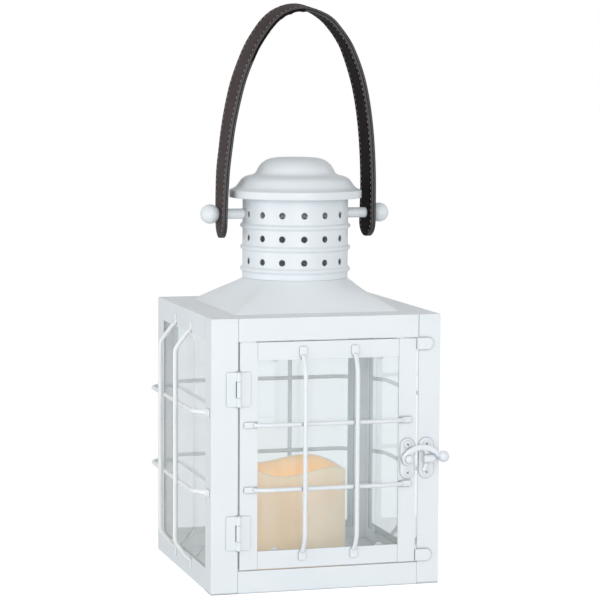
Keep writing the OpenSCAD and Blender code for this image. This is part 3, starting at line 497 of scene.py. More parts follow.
# %% Posts, rails and floor
def close_seams(reach):
    """Moves a rail's two end faces outwards until they meet the posts."""
    def move(bm):
        low = [min(v.co[i] for v in bm.verts) for i in range(3)]
        high = [max(v.co[i] for v in bm.verts) for i in range(3)]
        along = 0 if high[0] - low[0] > high[1] - low[1] else 1
        for v in bm.verts:
            for end, side in ((low[along], -1), (high[along], 1)):
                if abs(v.co[along] - end) < 0.2:
                    v.co[along] += side * reach
    return move


for post, coat in (("hinge_post", hinge_shaded_coat), ("latch_post", latch_shaded_coat),
                   ("rear_left_post", white_coat), ("rear_right_post", white_coat)):
    soften_node(post, 0.45, coat)
for side, coat in (("front", seam_shaded_coat), ("back", white_coat), ("left", white_coat),
                   ("right", white_coat)):
    soften_node(side + "_bottom_rail", 0.3, coat, stretch=close_seams(0.25))
    soften_node(side + "_top_rail", 0.3, coat)
soften_node("floor_plate", 0.3, white_coat)
soften_node("door_hinge_stile", 0.3, hinge_shaded_coat)
soften_node("door_latch_stile", 0.3, latch_shaded_coat)
for strip in ("door_top_rail", "door_bottom_rail"):
    soften_node(strip, 0.3, seam_shaded_coat, stretch=close_seams(0.1))
for part in ("left", "right", "back", "door"):
    soften_node(part + "_pane_tabs", 0.2, white_coat, steps=2)
soften_node("door_stop_tabs", 0.25, cast_shaded_coat)

# %% [markdown]
# ## Roof, chimney and cap
# The roof is pressed from one sheet: square at its foot and round at its neck, with creases
# that start sharp in the corners and fade as they climb. It is lofted: circles are made,
# pulled towards a square, and bridged. The chimney and the cap are turned shapes, so a
# profile is spun round the middle.

# %% Loft and spin helpers
def edges_among(bm, points):
    """The edges whose two ends are both among these points."""
    among = set(points)
    return [e for e in bm.edges if e.verts[0] in among and e.verts[1] in among]


def circle_loop(bm, count, shape):
    """A circle whose points are moved to shape(angle), as a closed loop of edges."""
    made = bmesh.ops.create_circle(bm, cap_ends=False, segments=count, radius=1.0)["verts"]
    for v in made:
        v.co = shape(math.atan2(v.co.y, v.co.x))
    return edges_among(bm, made)


def bridge_all(bm, loops):
    """Bridges each loop of edges to the next one."""
    for near, far in zip(loops, loops[1:]):
        bmesh.ops.bridge_loops(bm, edges=near + far)


def close_tube(bm, loops):
    """Bridges loops into a tube and closes both its ends."""
    bridge_all(bm, loops)
    for end in (loops[0], loops[-1]):
        bmesh.ops.contextual_create(bm, geom=end)


def closed_loft(bm, count, shapes):
    """Bridges circles one after another, and the last one to the first."""
    loops = [circle_loop(bm, count, shape) for shape in shapes]
    bridge_all(bm, loops + loops[:1])
    bmesh.ops.recalc_face_normals(bm, faces=bm.faces)


def spun(bm, profile, steps, closed=True):
    """Spins a profile of (radius, height) points round Z. A closed one meets itself."""
    points = [bm.verts.new((r, 0.0, z)) for r, z in profile]
    lines = [bm.edges.new(pair) for pair in zip(points, points[1:])]
    if closed:
        lines.append(bm.edges.new((points[-1], points[0])))
    bmesh.ops.spin(bm, geom=points + lines, cent=(0, 0, 0), axis=(0, 0, 1),
                   angle=math.tau, steps=steps, use_merge=True, use_duplicate=False)
    bmesh.ops.remove_doubles(bm, verts=bm.verts, dist=0.0005)
    bmesh.ops.recalc_face_normals(bm, faces=bm.faces)
    return bm


def smooth_line(points, steps):
    """A curve through points, by Catmull and Rom's rule, with steps points in each span."""
    line = []
    for i in range(len(points) - 1):
        a, b = points[max(i - 1, 0)], points[i]
        c, d = points[i + 1], points[min(i + 2, len(points) - 1)]
        for s in range(steps):
            u = s / steps
            line.append(tuple(0.5 * (2 * q + (r - p) * u + (2 * p - 5 * q + 4 * r - t) * u * u
                                     + (3 * q - p - 3 * r + t) * u ** 3)
                              for p, q, r, t in zip(a, b, c, d)))
    return line + [tuple(points[-1])]


# %% The roof
BODY_TOP = 206.0
ROOF_HALF, ROOF_RISE, ROOF_HOLLOW = 64.0, 21.5, 0.92
NECK_R, NECK_TOP = 39.9, 233.5
ROOF_STEPS = 22


def roof_shape(half, climb, height):
    """A ring of the roof: climb 0 is the square foot and 1 the round neck."""
    def shape(angle):
        c, s = abs(math.cos(angle)), abs(math.sin(angle))
        power = 10.0 + 150.0 * (1 - climb) ** 3
        square = 1.0 / (c ** power + s ** power) ** (1 / power)
        r = (1 - climb) * half * square + climb * NECK_R
        return Vector((r * math.cos(angle), r * math.sin(angle), height))
    return shape


def straight_ring(radius, height):
    """A round ring, for the neck."""
    return lambda angle: Vector((radius * math.cos(angle), radius * math.sin(angle), height))


climbs = [i / ROOF_STEPS for i in range(ROOF_STEPS + 1)]
outside = [roof_shape(ROOF_HALF, u, BODY_TOP + 1.0 + ROOF_RISE * u ** ROOF_HOLLOW)
           for u in climbs]
inside = [roof_shape(ROOF_HALF - 4.0, u, BODY_TOP + 0.1 + (ROOF_RISE - 0.2) * u ** ROOF_HOLLOW)
          for u in reversed(climbs)]
# Paint fills the corner between the roof's foot and the rails under it
painted_foot = [roof_shape(ROOF_HALF + out, 0, BODY_TOP + up)
                for out, up in ((1.2, 0.0), (0.7, 0.25), (0.3, 0.6))]
neck = [straight_ring(NECK_R, NECK_TOP), straight_ring(NECK_R - 1.0, NECK_TOP)]
roof_bm = bmesh.new()
closed_loft(roof_bm, 256, painted_foot + outside + neck + inside)
roof = place_piece("pressed_roof", roof_bm, "lantern", white_coat,
                   ("roof_sheet",), smooth=50.0)
print("roof faces:", len(roof.data.polygons))

# %% [markdown]
# The chimney is a rolled tube with three beads, pierced by three rows of vent holes. Its
# wall is spun as a closed profile, inside and outside at once, and the holes are cut by a
# Boolean with slightly flared plugs, because a punch pulls the edge of a hole inwards.

# %% Cut holes with a Boolean
def scratch_object(bm):
    """A passing object that holds a bmesh, so that a modifier can work on it."""
    mesh = bpy.data.meshes.new("scratch")
    bm.to_mesh(mesh)
    bm.free()
    obj = bpy.data.objects.new("scratch", mesh)
    bpy.context.scene.collection.objects.link(obj)
    return obj


def modified(obj):
    """The mesh that an object's modifiers make, as a new bmesh."""
    bpy.context.view_layer.update()
    done = obj.evaluated_get(bpy.context.evaluated_depsgraph_get())
    result = bmesh.new()
    result.from_mesh(done.to_mesh())
    done.to_mesh_clear()
    return result


def discard(obj):
    """Removes a passing object with its mesh."""
    mesh = obj.data
    bpy.data.objects.remove(obj)
    bpy.data.meshes.remove(mesh)


def cut(bm, plugs):
    """Returns bm minus plugs, both closed bmeshes in millimetres."""
    whole, blades = scratch_object(bm), scratch_object(plugs)
    work = whole.modifiers.new("cut", "BOOLEAN")
    work.operation = "DIFFERENCE"
    work.solver = "EXACT"
    work.object = blades
    result = modified(whole)
    discard(whole)
    discard(blades)
    bmesh.ops.remove_doubles(result, verts=result.verts, dist=0.0005)
    return result


def plug(bm, place, direction, radii, depths, sides):
    """A turned plug along a direction: its radii at depths measured from its place."""
    turn_to = Vector(direction).to_track_quat("Z", "Y").to_matrix().to_4x4()
    turn_to.translation = Vector(place)
    loops = []
    for r, d in zip(radii, depths):
        matrix = turn_to @ Matrix.Translation((0, 0, d))
        ring = bmesh.ops.create_circle(bm, cap_ends=False, segments=sides, radius=r,
                                       matrix=matrix)["verts"]
        loops.append(edges_among(bm, ring))
    close_tube(bm, loops)


# %% The chimney
CHIMNEY_R = 41.0
HANDLE_Z = 277.8
BEADS, FIRST_BEAD_Z, BEAD_PITCH = 3, 235.1, 16.7
VENTS_ROUND, VENT_ROWS, VENT_PITCH, FIRST_VENT_ANGLE = 15, 3, 18.0, -96
chimney_low, chimney_high = (1000 * corner[2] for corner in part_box("chimney"))
wall_line = [(CHIMNEY_R - 1.0, chimney_low), (CHIMNEY_R - 0.15, chimney_low),
             (CHIMNEY_R, chimney_low + 0.2)]
for bead in range(BEADS):
    middle = FIRST_BEAD_Z + BEAD_PITCH * bead
    wall_line.append((CHIMNEY_R, middle - 2.5))
    for step in range(-6, 7):
        bend = math.radians(13.5 * step)
        drawn_in, spread = (0.1, 1.12) if abs(step) == 6 else (0.0, 1.0)
        wall_line.append((CHIMNEY_R + 0.25 + 1.65 * math.cos(bend) - drawn_in,
                          middle + 1.72 * math.sin(bend) * spread))
    wall_line.append((CHIMNEY_R, middle + 2.5))
wall_line += [(CHIMNEY_R, chimney_high - 0.3), (CHIMNEY_R - 1.0, chimney_high)]
chimney_bm = spun(bmesh.new(), wall_line, 180)
plugs = bmesh.new()
for row in range(VENT_ROWS):
    height = HANDLE_Z - VENT_PITCH * (VENT_ROWS - 1 - row)
    for i in range(VENTS_ROUND):
        around = FIRST_VENT_ANGLE + 360 // VENTS_ROUND * i
        if row == VENT_ROWS - 1 and around == 0:
            continue  # the rod goes through here
        toward = Vector((math.cos(math.radians(around)), math.sin(math.radians(around)), 0))
        plug(plugs, toward * CHIMNEY_R + Vector((0, 0, height)), toward,
             (2.5, 2.5, 2.75, 3.0), (-2.2, -0.35, -0.05, 0.4), 20)
for side in (-1, 1):
    plug(plugs, (side * CHIMNEY_R, 0, HANDLE_Z), (side, 0, 0), (4.1, 4.1, 4.4), (-3, 0, 0.6), 32)
chimney_bm = cut(chimney_bm, plugs)
# Faces inside the tube take the dark grey, the painted shade
for face in chimney_bm.faces:
    middle = face.calc_center_median()
    if Vector((middle.x, middle.y)).length < CHIMNEY_R - 0.9:
        face.material_index = 1
chimney = place_piece("vented_chimney", chimney_bm, "lantern", (turned_coat, inside_painted_shade),
                      ("chimney",), smooth=28.0)
print("chimney faces:", len(chimney.data.polygons))

# %% [markdown]
# The cap is one pressing: a crown, a step, a sloping shoulder, and a straight band at the
# rim. Its line is a smooth curve through the press tool's points.

# %% The cap
CAP_RIM_TOP = 296.2
CAP_R = 51.3
press_line = [(0, 25), (8, 24.95), (16.6, 24.55), (22, 23.1), (26.2, 20.4), (28.9, 17.0),
              (30.6, 13.6), (32.9, 11.7), (35.8, 10.9), (39.2, 9.9), (42, 8.0), (44.2, 5.0),
              (46.2, 2.5), (48.4, 1.0), (50.3, 0.15)]
cap_outer = [(max(r, 0.0), CAP_RIM_TOP + z) for r, z in smooth_line(press_line, 4)]
cap_band = [(CAP_R - inwards, CAP_RIM_TOP - down) for inwards, down in (
    (0.45, 0.05), (0.12, 0.35), (0, 0.8), (0, 5.5), (0.1, 5.85), (0.45, 6.0), (0.9, 5.85),
    (1.0, 5.5), (1.0, 1.4))]
cap_inner = [(max(r - 0.35, 0.0), z - 1.0) for r, z in reversed(cap_outer)]
cap_bm = bmesh.new()
spun(cap_bm, cap_outer + cap_band + cap_inner[1:], 180, closed=False)
cap = place_piece("domed_cap", cap_bm, "lantern", turned_coat, ("vent_cap",),
                  smooth=60.0)
print("cap faces:", len(cap.data.polygons))

# %% The handle's rod and its balls
BALL_R, BALL_X, BALL_BORE_R = 7.5, 68.3, 4.05


def along_x(bm):
    """Lays a shape spun round Z along X, at the height of the rod."""
    bmesh.ops.rotate(bm, cent=(0, 0, 0), matrix=Matrix.Rotation(math.pi / 2, 3, "Y"),
                     verts=bm.verts)
    bmesh.ops.translate(bm, vec=(0, 0, HANDLE_Z), verts=bm.verts)
    return bm


rod_bm = spun(bmesh.new(), [(0, -65.8), (3.5, -65.8), (4, -65.3), (4, 65.3), (3.5, 65.8),
                            (0, 65.8)], 64, closed=False)
place_piece("carrying_rod", along_x(rod_bm), "lantern", cast_shaded_coat, ("handle_rod",))
for side, name in ((-1, "left_finial"), (1, "right_finial")):
    ball_line = []
    for step in range(25):
        bend = math.radians(180 * step / 24)
        r = BALL_R * math.sin(bend)
        z = -BALL_R * math.cos(bend)
        if z > 0 or r > BALL_BORE_R:
            ball_line.append((r if step < 24 else 0.0, BALL_X + z))
    mouth = ball_line[0][1]
    ball_line = [(0, 65.9), (BALL_BORE_R, 65.9), (BALL_BORE_R, mouth - 0.15),
                 (4.35, mouth - 0.25)] + ball_line
    ball_bm = along_x(spun(bmesh.new(), ball_line, 48, closed=False))
    if side < 0:
        bmesh.ops.scale(ball_bm, vec=(-1, 1, 1), verts=ball_bm.verts)
        bmesh.ops.recalc_face_normals(ball_bm, faces=ball_bm.faces)
    place_piece(name + "_ball", ball_bm, "lantern", turned_coat, (name,),
                smooth=50.0)
print("balls at", BALL_X, "from the middle")

# %% [markdown]
# ## Guard rods
# A guard rod is steel wire whose two ends are hammered flat like a spoon and spot-welded to
# the frame. It climbs away from the pad in a soft S and runs straight in between. The wire
# is a row of circles: at the pad each is pulled into a flat slab with round corners, and
# the bends are arcs. One rod is modelled for each length, then copied to its places.

# %% Guard rod helper
ROD_R = 1.65
PAD_T, PAD_L = 1.2, 8.6
ROD_SIDES = 20


def rod_line(length, standoff, slope, pad_end):
    """Middle points of a rod with rounded bends, as (y, z, flat), from its end to its middle."""
    lie = Vector((-ROD_R - 0.1, PAD_L - ROD_R))
    out = Vector((-standoff, PAD_L + slope))
    start = Vector((-ROD_R - 0.1, 0.0))
    middle = Vector((-standoff, length / 2))

    def rounded(before, corner, after, reach, steps):
        near = corner + (before - corner).normalized() * reach
        far = corner + (after - corner).normalized() * reach
        return [((1 - u) ** 2 * near + 2 * u * (1 - u) * corner + u * u * far)
                for u in [i / steps for i in range(steps + 1)]]

    bends = rounded(start, lie, out, 2.6, 6) + rounded(lie, out, middle, 3.4, 6)
    line = [(-PAD_T / 2, z, 0.0) for z in (0.0, 0.22, 0.8, pad_end - 1.0)]
    line += [(-PAD_T / 2 - 0.1, pad_end - 0.2, 0.06), (-PAD_T / 2 - 0.4, pad_end + 0.4, 0.3),
             (-ROD_R + 0.1, pad_end + 0.9, 0.72)]
    line += [(p.x, p.y, 1.0) for p in bends if p.y > pad_end + 1.4]
    return line + [(-standoff, length / 2, 1.0)]


def rod_template(length, standoff, slope, pad_w, pad_end=6.4, near_slope=None):
    """A whole rod. near_slope gives its first end a longer rise than the other end's."""
    bm = bmesh.new()
    near_half = rod_line(length, standoff, near_slope or slope, pad_end)
    far_half = rod_line(length, standoff, slope, pad_end)
    whole = near_half + [(y, length - z, flat) for y, z, flat in reversed(far_half[:-1])]
    across = Vector((1, 0, 0))
    loops = []
    for i, (y, z, full) in enumerate(whole):
        a, b = whole[max(i - 1, 0)], whole[min(i + 1, len(whole) - 1)]
        ahead = Vector((0, b[0] - a[0], b[1] - a[1])).normalized()
        if full < 0.5:
            ahead = Vector((0, 0, 1))
        outward = ahead.cross(across)
        from_end = min(z, length - z)
        tip = min(1.0, 0.80 + from_end / 3.0)
        edge = 0.62 if from_end < 0.1 else 1.0
        half_w = (1 - full) * pad_w / 2 * tip + full * ROD_R
        half_t = ((1 - full) * PAD_T / 2 + full * ROD_R) * edge
        power = 2 + 4 * (1 - full)

        def shape(angle, y=y, z=z, outward=outward, half_w=half_w, half_t=half_t, power=power):
            c, s = math.cos(angle), math.sin(angle)
            return (Vector((0, y, z))
                    + across * half_w * math.copysign(abs(c) ** (2 / power), c)
                    + outward * half_t * math.copysign(abs(s) ** (2 / power), s))
        loops.append(circle_loop(bm, ROD_SIDES, shape))
    close_tube(bm, loops)
    bmesh.ops.recalc_face_normals(bm, faces=bm.faces)
    return bm


def place_rods(name, template, places, body, stands_for, coat):
    """Copies a rod to several places, each given as a matrix in millimetres."""
    bm = bmesh.new()
    for matrix in places:
        one = template.copy()
        bmesh.ops.transform(one, matrix=matrix, verts=one.verts)
        merge_into(bm, one)
    place_piece(name, bm, body, coat, stands_for, smooth=50.0)


# %% Bend the guard rods
HALF_W, DOOR_FACE = 89.0, -89.5
SIDE_WIRE_X, SIDE_WIRE_Z = (-25, 25), (75.5, 135.7)
DOOR_WIRE_X, DOOR_WIRE_Z = (-18.9, 21.5), (78.0, 126.6)
upright = rod_template(length=190.4, standoff=12.5, slope=12.35, pad_w=6.0)
cross = rod_template(length=168.0, standoff=9.2, slope=8.55, pad_w=5.4)
# On the right side the cross wires rise more slowly at their front ends
gentle_cross = rod_template(length=168.0, standoff=9.2, slope=8.55, pad_w=5.4,
                            near_slope=25.0)
lay_across = Matrix.Rotation(math.pi / 2, 4, "Y")
for side, turned in (("left", -90), ("right", 90), ("back", 180)):
    face = Matrix.Rotation(math.radians(turned), 4, "Z")
    place_rods(side + "_upright_wires", upright,
               [face @ Matrix.Translation((x, -HALF_W, 7.8)) for x in SIDE_WIRE_X],
               "lantern", (side + "_upright_rods",), lit_wire_coat)
    place_rods(side + "_cross_wires", gentle_cross if side == "right" else cross,
               [face @ Matrix.Translation((-84, -HALF_W, z)) @ lay_across for z in SIDE_WIRE_Z],
               "lantern", (side + "_cross_rods",), lit_wire_coat)
door_upright = rod_template(length=161.0, standoff=7.5, slope=9.0, pad_w=5.9)
door_cross = rod_template(length=130.4, standoff=4.2, slope=10.0, pad_w=4.4, pad_end=7.0)
place_rods("door_upright_wires", door_upright,
           [Matrix.Translation((x, DOOR_FACE, 23.3)) for x in DOOR_WIRE_X], "door",
           ("door_upright_rods",), cast_shaded_coat)
place_rods("door_cross_wires", door_cross,
           [Matrix.Translation((-64.2, DOOR_FACE, z)) @ lay_across for z in DOOR_WIRE_Z],
           "door", ("door_cross_rods",), cast_shaded_coat)
for template in (upright, cross, gentle_cross, door_upright, door_cross):
    template.free()

# %% [markdown]
# ## Glass and hinges
# Each pane is cut from float glass and its edges are ground with a small chamfer. The
# hinges are small butt hinges: thin leaves, rolled knuckles and a pin with domed ends. The
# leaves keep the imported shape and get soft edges; the pins are turned.

# %% Panes
for part, glass in (("left", left_glass_painted_shade), ("right", right_glass_painted_light), ("back", pane_glass),
                    ("door", pane_glass)):
    soften_node(part + "_pane", 0.3, glass, steps=2)

# %% Hinges
HINGE_X, HINGE_Y = -68.4, -91.4
HINGE_HEIGHTS = (45.9, 153.5)
for leaves in ("frame_hinge_leaves", "door_hinge_leaves"):
    soften_node(leaves, 0.22, white_coat, steps=2)
pin_head = [(0.0, 13.25), (0.55, 13.22), (1.0, 13.08), (1.3, 12.95), (1.38, 12.8), (1.0, 12.72)]
pins_bm = bmesh.new()
for height in HINGE_HEIGHTS:
    pin = spun(bmesh.new(), [(r, -z) for r, z in pin_head] + pin_head[::-1], 32, closed=False)
    bmesh.ops.translate(pin, vec=(HINGE_X, HINGE_Y, height), verts=pin.verts)
    merge_into(pins_bm, pin)
place_piece("turned_hinge_pins", pins_bm, "lantern", cast_shaded_coat, ("hinge_pins",))
print("hinge heights:", HINGE_HEIGHTS)

# %% [markdown]
# ## The latch
# The latch is four small castings under thick paint. The plates are round-ended and
# crowned: each ring is bridged to the next, which lies a little further in and forward. The
# arm is one casting whose eye, bow, finger and ball flow into each other. Such a shape is
# easiest to build from overlapping pieces that a voxel remesh fuses, and a smoothing then
# rounds the joins like the fillets of a mould.

# %% Fuse and smooth a casting
LATCH_X, LATCH_Z, KEEPER_X = 63.1, 97.0, 78.3
PLATE_HALF_H, SCREW_FROM_PIVOT = 15.3, 10.8


def fused(bm, voxel, rounds):
    """One skin round all the closed shapes in bm, in millimetres, with soft joins."""
    casting = scratch_object(bm)
    skin = casting.modifiers.new("fuse", "REMESH")
    skin.mode = "VOXEL"
    skin.voxel_size = voxel
    soft = casting.modifiers.new("soften", "SMOOTH")
    soft.factor = 0.5
    soft.iterations = rounds
    result = modified(casting)
    discard(casting)
    return result


def swept(bm, points, count=24):
    """A tube of flattened circles in the door's plane. A point is x, y, z, half width and
    half depth."""
    loops = []
    for i, (x, y, z, wide, deep) in enumerate(points):
        a, b = points[max(i - 1, 0)], points[min(i + 1, len(points) - 1)]
        ahead = Vector((b[0] - a[0], 0, b[2] - a[2])).normalized()
        aside = Vector((-ahead.z, 0, ahead.x))

        def shape(angle, x=x, y=y, z=z, wide=wide, deep=deep, aside=aside):
            c, s = math.cos(angle), math.sin(angle)
            return (Vector((x, y, z)) + aside * wide * math.copysign(abs(c) ** 0.8, c)
                    + Vector((0, deep * math.copysign(abs(s) ** 0.8, s), 0)))
        loops.append(circle_loop(bm, count, shape))
    close_tube(bm, loops)


def button(bm, x, z, profile, steps=40):
    """Spins a profile of (radius, y) round an axis along Y at x and z."""
    part = spun(bmesh.new(), profile, steps, closed=False)
    bmesh.ops.rotate(part, cent=(0, 0, 0), matrix=Matrix.Rotation(-math.pi / 2, 3, "X"),
                     verts=part.verts)
    bmesh.ops.translate(part, vec=(x, 0, z), verts=part.verts)
    merge_into(bm, part)


# %% The arm
BOW_R, FINGER_R, THUMB_BALL_R = 16.3, 15.0, 4.4
arm_bm = bmesh.new()
button(arm_bm, LATCH_X, LATCH_Z, [(0, -91.85), (4.3, -91.85), (5.0, -92.3), (5.25, -93.3),
                                  (4.9, -94.3), (4.2, -94.8), (0, -94.9)])
bow_middle = (LATCH_X + 10.9, LATCH_Z - 7.8)
bow_points = []
for step in range(21):
    u = step / 20
    bend = math.radians(152 - 110 * u)
    fat = 2.05 + 0.75 * math.cos(math.pi * u) ** 2 * (1 - u) + 0.25 * math.sin(math.pi * u)
    bow_points.append((bow_middle[0] + BOW_R * math.cos(bend), -93.35 - 0.35 * u,
                       bow_middle[1] + BOW_R * math.sin(bend), fat, 1.5 - 0.1 * u))
last = bow_points[-1]
bow_points += [(last[0] + 1.9, -93.95, last[2] - 1.75, 1.95, 1.5),
               (LATCH_X + 27.0, -94.15, LATCH_Z + 1.6, 2.0, 1.7)]
swept(arm_bm, bow_points)
finger_points = []
for step in range(15):
    bend = math.radians(36 - 74 * step / 14)
    finger_points.append((LATCH_X + FINGER_R * math.cos(bend), -93.0,
                          LATCH_Z + FINGER_R * math.sin(bend), 1.75 - 0.25 * step / 14, 1.05))
swept(arm_bm, finger_points)
finger_root = [(LATCH_X + 13.0, -93.1, LATCH_Z + 9.2, 1.2, 1.1),
               (LATCH_X + 13.6, -93.1, LATCH_Z + 7.4, 3.0, 1.1),
               (LATCH_X + 14.3, -93.05, LATCH_Z + 5.0, 1.75, 1.05)]
swept(arm_bm, finger_root)
bmesh.ops.create_uvsphere(arm_bm, u_segments=40, v_segments=24, radius=THUMB_BALL_R,
                          matrix=Matrix.Translation((LATCH_X + 27.6, -94.2, LATCH_Z + 1.2)))
arm_bm = fused(arm_bm, 0.24, 7)
place_piece("cast_latch_arm", arm_bm, "latch", cast_shaded_coat, ("latch_arm",),
            smooth=180.0)
print("latch arm cast")


# %% Plates and their screws
def obround(half_w, half_h, y, x, z):
    """A ring with straight sides and round ends in the door's plane."""
    def shape(angle):
        c, s = math.cos(angle), math.sin(angle)
        lift = math.copysign(half_h - half_w, s if abs(s) > 1e-6 else 1)
        return Vector((x + half_w * c, y, z + half_w * s + lift))
    return shape


def cast_plate(bm, x, face_y, half_w):
    """A round-ended plate whose front edge is rounded and whose middle is a little crowned."""
    steps = ((0.0, 0.0), (0.0, 0.55), (0.12, 0.85), (0.36, 1.08), (0.75, 1.2), (1.6, 1.26))
    shapes = [obround(half_w - inset, PLATE_HALF_H - inset, face_y - depth, x, LATCH_Z)
              for inset, depth in steps]
    close_tube(bm, [circle_loop(bm, 72, shape) for shape in shapes])
    bmesh.ops.recalc_face_normals(bm, faces=bm.faces)
    return bm


def screws(name, x, plate_y, body, stands_for, turns):
    """Two oval-head screws with cross recesses, seated in the plate."""
    whole = bmesh.new()
    for turn_by, z in zip(turns, (LATCH_Z - SCREW_FROM_PIVOT, LATCH_Z + SCREW_FROM_PIVOT)):
        head = bmesh.new()
        button(head, x, z, [(0, plate_y + 2.2), (1.2, plate_y + 2.2), (1.3, plate_y + 0.1),
                            (2.75, plate_y + 0.05), (2.8, plate_y - 0.2), (2.55, plate_y - 0.5),
                            (1.8, plate_y - 0.72), (0.9, plate_y - 0.8), (0, plate_y - 0.82)])
        for quarter in (0, 90):
            slot = bmesh.new()
            blade = bmesh.ops.create_cube(slot, size=1.0)["verts"]
            bmesh.ops.scale(slot, vec=(3.4, 1.6, 0.72), verts=blade)
            for v in blade:
                if v.co.y > 0:
                    v.co.x *= 0.35
                    v.co.z *= 0.6
            bmesh.ops.rotate(slot, cent=(0, 0, 0), verts=blade,
                             matrix=Matrix.Rotation(math.radians(turn_by + quarter), 3, "Y"))
            bmesh.ops.translate(slot, vec=(x, plate_y - 0.45 - 0.013 * quarter / 90, z),
                                verts=blade)
            bmesh.ops.recalc_face_normals(slot, faces=slot.faces)
            head = cut(head, slot)
        merge_into(whole, head)
    place_piece(name, whole, body, cast_shaded_coat, stands_for, smooth=35.0)


plate_bm = cast_plate(bmesh.new(), LATCH_X, DOOR_FACE, 5.5)
pivot_boss = [(0, -90.0), (4.3, -90.0), (4.25, -91.1), (4.0, -91.4), (3.5, -91.5), (0, -91.5)]
button(plate_bm, LATCH_X, LATCH_Z, pivot_boss)
screw_collar = [(2.9, -90.3), (4.15, -90.3), (4.1, -90.85), (3.75, -91.0), (3.3, -91.0),
                (3.0, -90.85), (2.9, -90.3)]
button(plate_bm, LATCH_X, LATCH_Z + SCREW_FROM_PIVOT, screw_collar)
place_piece("cast_latch_plate", plate_bm, "door", cast_shaded_coat, ("latch_plate",))
screws("latch_plate_screws", LATCH_X, -90.7, "door", ("latch_screws",), (38, 62))
rivet_bm = bmesh.new()
button(rivet_bm, LATCH_X, LATCH_Z, [(0, -88.0), (2, -88.0), (2, -94.95), (3.1, -94.96),
                                    (3.2, -95.3), (2.95, -95.95), (2.35, -96.5), (1.4, -96.85),
                                    (0, -96.95)])
place_piece("domed_rivet", rivet_bm, "door", cast_shaded_coat, ("latch_rivet",))
print("latch plate, screws and rivet placed")

# %% The keeper
BARREL_Y, BARREL_BACK_Y = -95.95, -94.25
barrel_line = ((74.55, 1.2), (74.62, 1.95), (74.95, 2.5), (75.6, 2.82), (77.5, 2.95),
               (80.2, 2.95), (81.6, 2.85), (82.7, 2.4), (83.3, 1.7), (83.55, 0.8))
hook_bm = bmesh.new()
close_tube(hook_bm, [
    circle_loop(hook_bm, 32, lambda angle, x=x, r=r: Vector(
        (x, BARREL_Y + r * math.cos(angle), LATCH_Z + r * math.sin(angle))))
    for x, r in barrel_line])
column = bmesh.ops.create_cube(hook_bm, size=1.0)["verts"]
bmesh.ops.scale(hook_bm, vec=(2.5, 6.4, 4.2), verts=column)
bmesh.ops.translate(hook_bm, vec=(81.35, -92.7, LATCH_Z - 0.6), verts=column)
bmesh.ops.recalc_face_normals(hook_bm, faces=hook_bm.faces)
hook_bm = fused(hook_bm, 0.22, 5)
everything = hook_bm.verts[:] + hook_bm.edges[:] + hook_bm.faces[:]
bmesh.ops.bisect_plane(hook_bm, geom=everything,
                       plane_co=(0, -89.6, 0), plane_no=(0, 1, 0), clear_outer=True)
bmesh.ops.holes_fill(hook_bm, edges=[e for e in hook_bm.edges if e.is_boundary], sides=0)
# The barrel's back is flat where the finger slides behind it
for v in hook_bm.verts:
    if v.co.x < 79.95 and v.co.y > BARREL_BACK_Y:
        v.co.y = BARREL_BACK_Y
cast_plate(hook_bm, KEEPER_X, -HALF_W, 5.8)
place_piece("cast_keeper", hook_bm, "lantern", cast_shaded_coat, ("keeper",), smooth=45.0)
screws("keeper_plate_screws", KEEPER_X, -90.2, "lantern", ("keeper_screws",), (25, 50))
print("keeper cast")

# %% [markdown]
# ## The strap
# The strap is two plies of leather, sewn together along both edges, with painted edges and
# round ends that hang from the rod. Each ply is swept along the arch: a cross-section of
# many points follows the arch's own direction. The stitch line is pressed into the leather
# as a shallow groove, and the outer ply is slightly crowned between the lines. The lining
# is wrinkled across near the top of the arch.

# %% The arch
STRAP_X, STRAP_RISE, STRAP_SQUARE, STRAP_LEAN = 60.4, 161.0, 2.3, 2.4
STRAP_HALF = 12.0
FOOT_Z = 271.2
STATION_GAP = 1.1


def signed_power(v, e):
    """v to the power e, with v's own sign."""
    return math.copysign(abs(v) ** e, v)


def arch(t):
    """A point of the arch's outside line; t is 0 at the right foot and pi at the left."""
    e = 2 / STRAP_SQUARE
    return Vector((STRAP_X * signed_power(math.cos(t), e) + STRAP_LEAN * math.sin(t),
                   HANDLE_Z + STRAP_RISE * signed_power(math.sin(t), e)))


def even_line(points, gap):
    """Points at even distances along a line."""
    walked = [0.0]
    for a, b in zip(points, points[1:]):
        walked.append(walked[-1] + (b - a).length)
    count = round(walked[-1] / gap)
    line, i = [], 0
    for k in range(count + 1):
        want = walked[-1] * k / count
        while i < len(points) - 2 and walked[i + 1] < want:
            i += 1
        span = max(walked[i + 1] - walked[i], 1e-9)
        line.append(points[i].lerp(points[i + 1], (want - walked[i]) / span))
    return line


right_foot = [Vector((STRAP_X, FOOT_Z - STRAP_HALF)), Vector((STRAP_X, FOOT_Z))]
over = [arch(math.pi * (1 - math.cos(math.pi * i / 1200)) / 2) for i in range(1201)]
left_foot = [Vector((-STRAP_X, FOOT_Z)), Vector((-STRAP_X, FOOT_Z - STRAP_HALF))]
STRAP_LINE = even_line(right_foot + over + left_foot, STATION_GAP)
STRAP_LENGTH = sum((b - a).length for a, b in zip(STRAP_LINE, STRAP_LINE[1:]))
print("strap length:", round(STRAP_LENGTH, 1), "mm in", len(STRAP_LINE), "stations")

# %% Sweep a ply
STITCH_IN, ROD_HOLE_R = 2.5, 4.15
WRINKLE_AT, WRINKLE_SPREAD = 0.515, 17.0


def station(i):
    """Place on the arch, and the direction to its inside."""
    a, b = STRAP_LINE[max(i - 1, 0)], STRAP_LINE[min(i + 1, len(STRAP_LINE) - 1)]
    along = (b - a).normalized()
    return STRAP_LINE[i], Vector((-along.y, along.x))


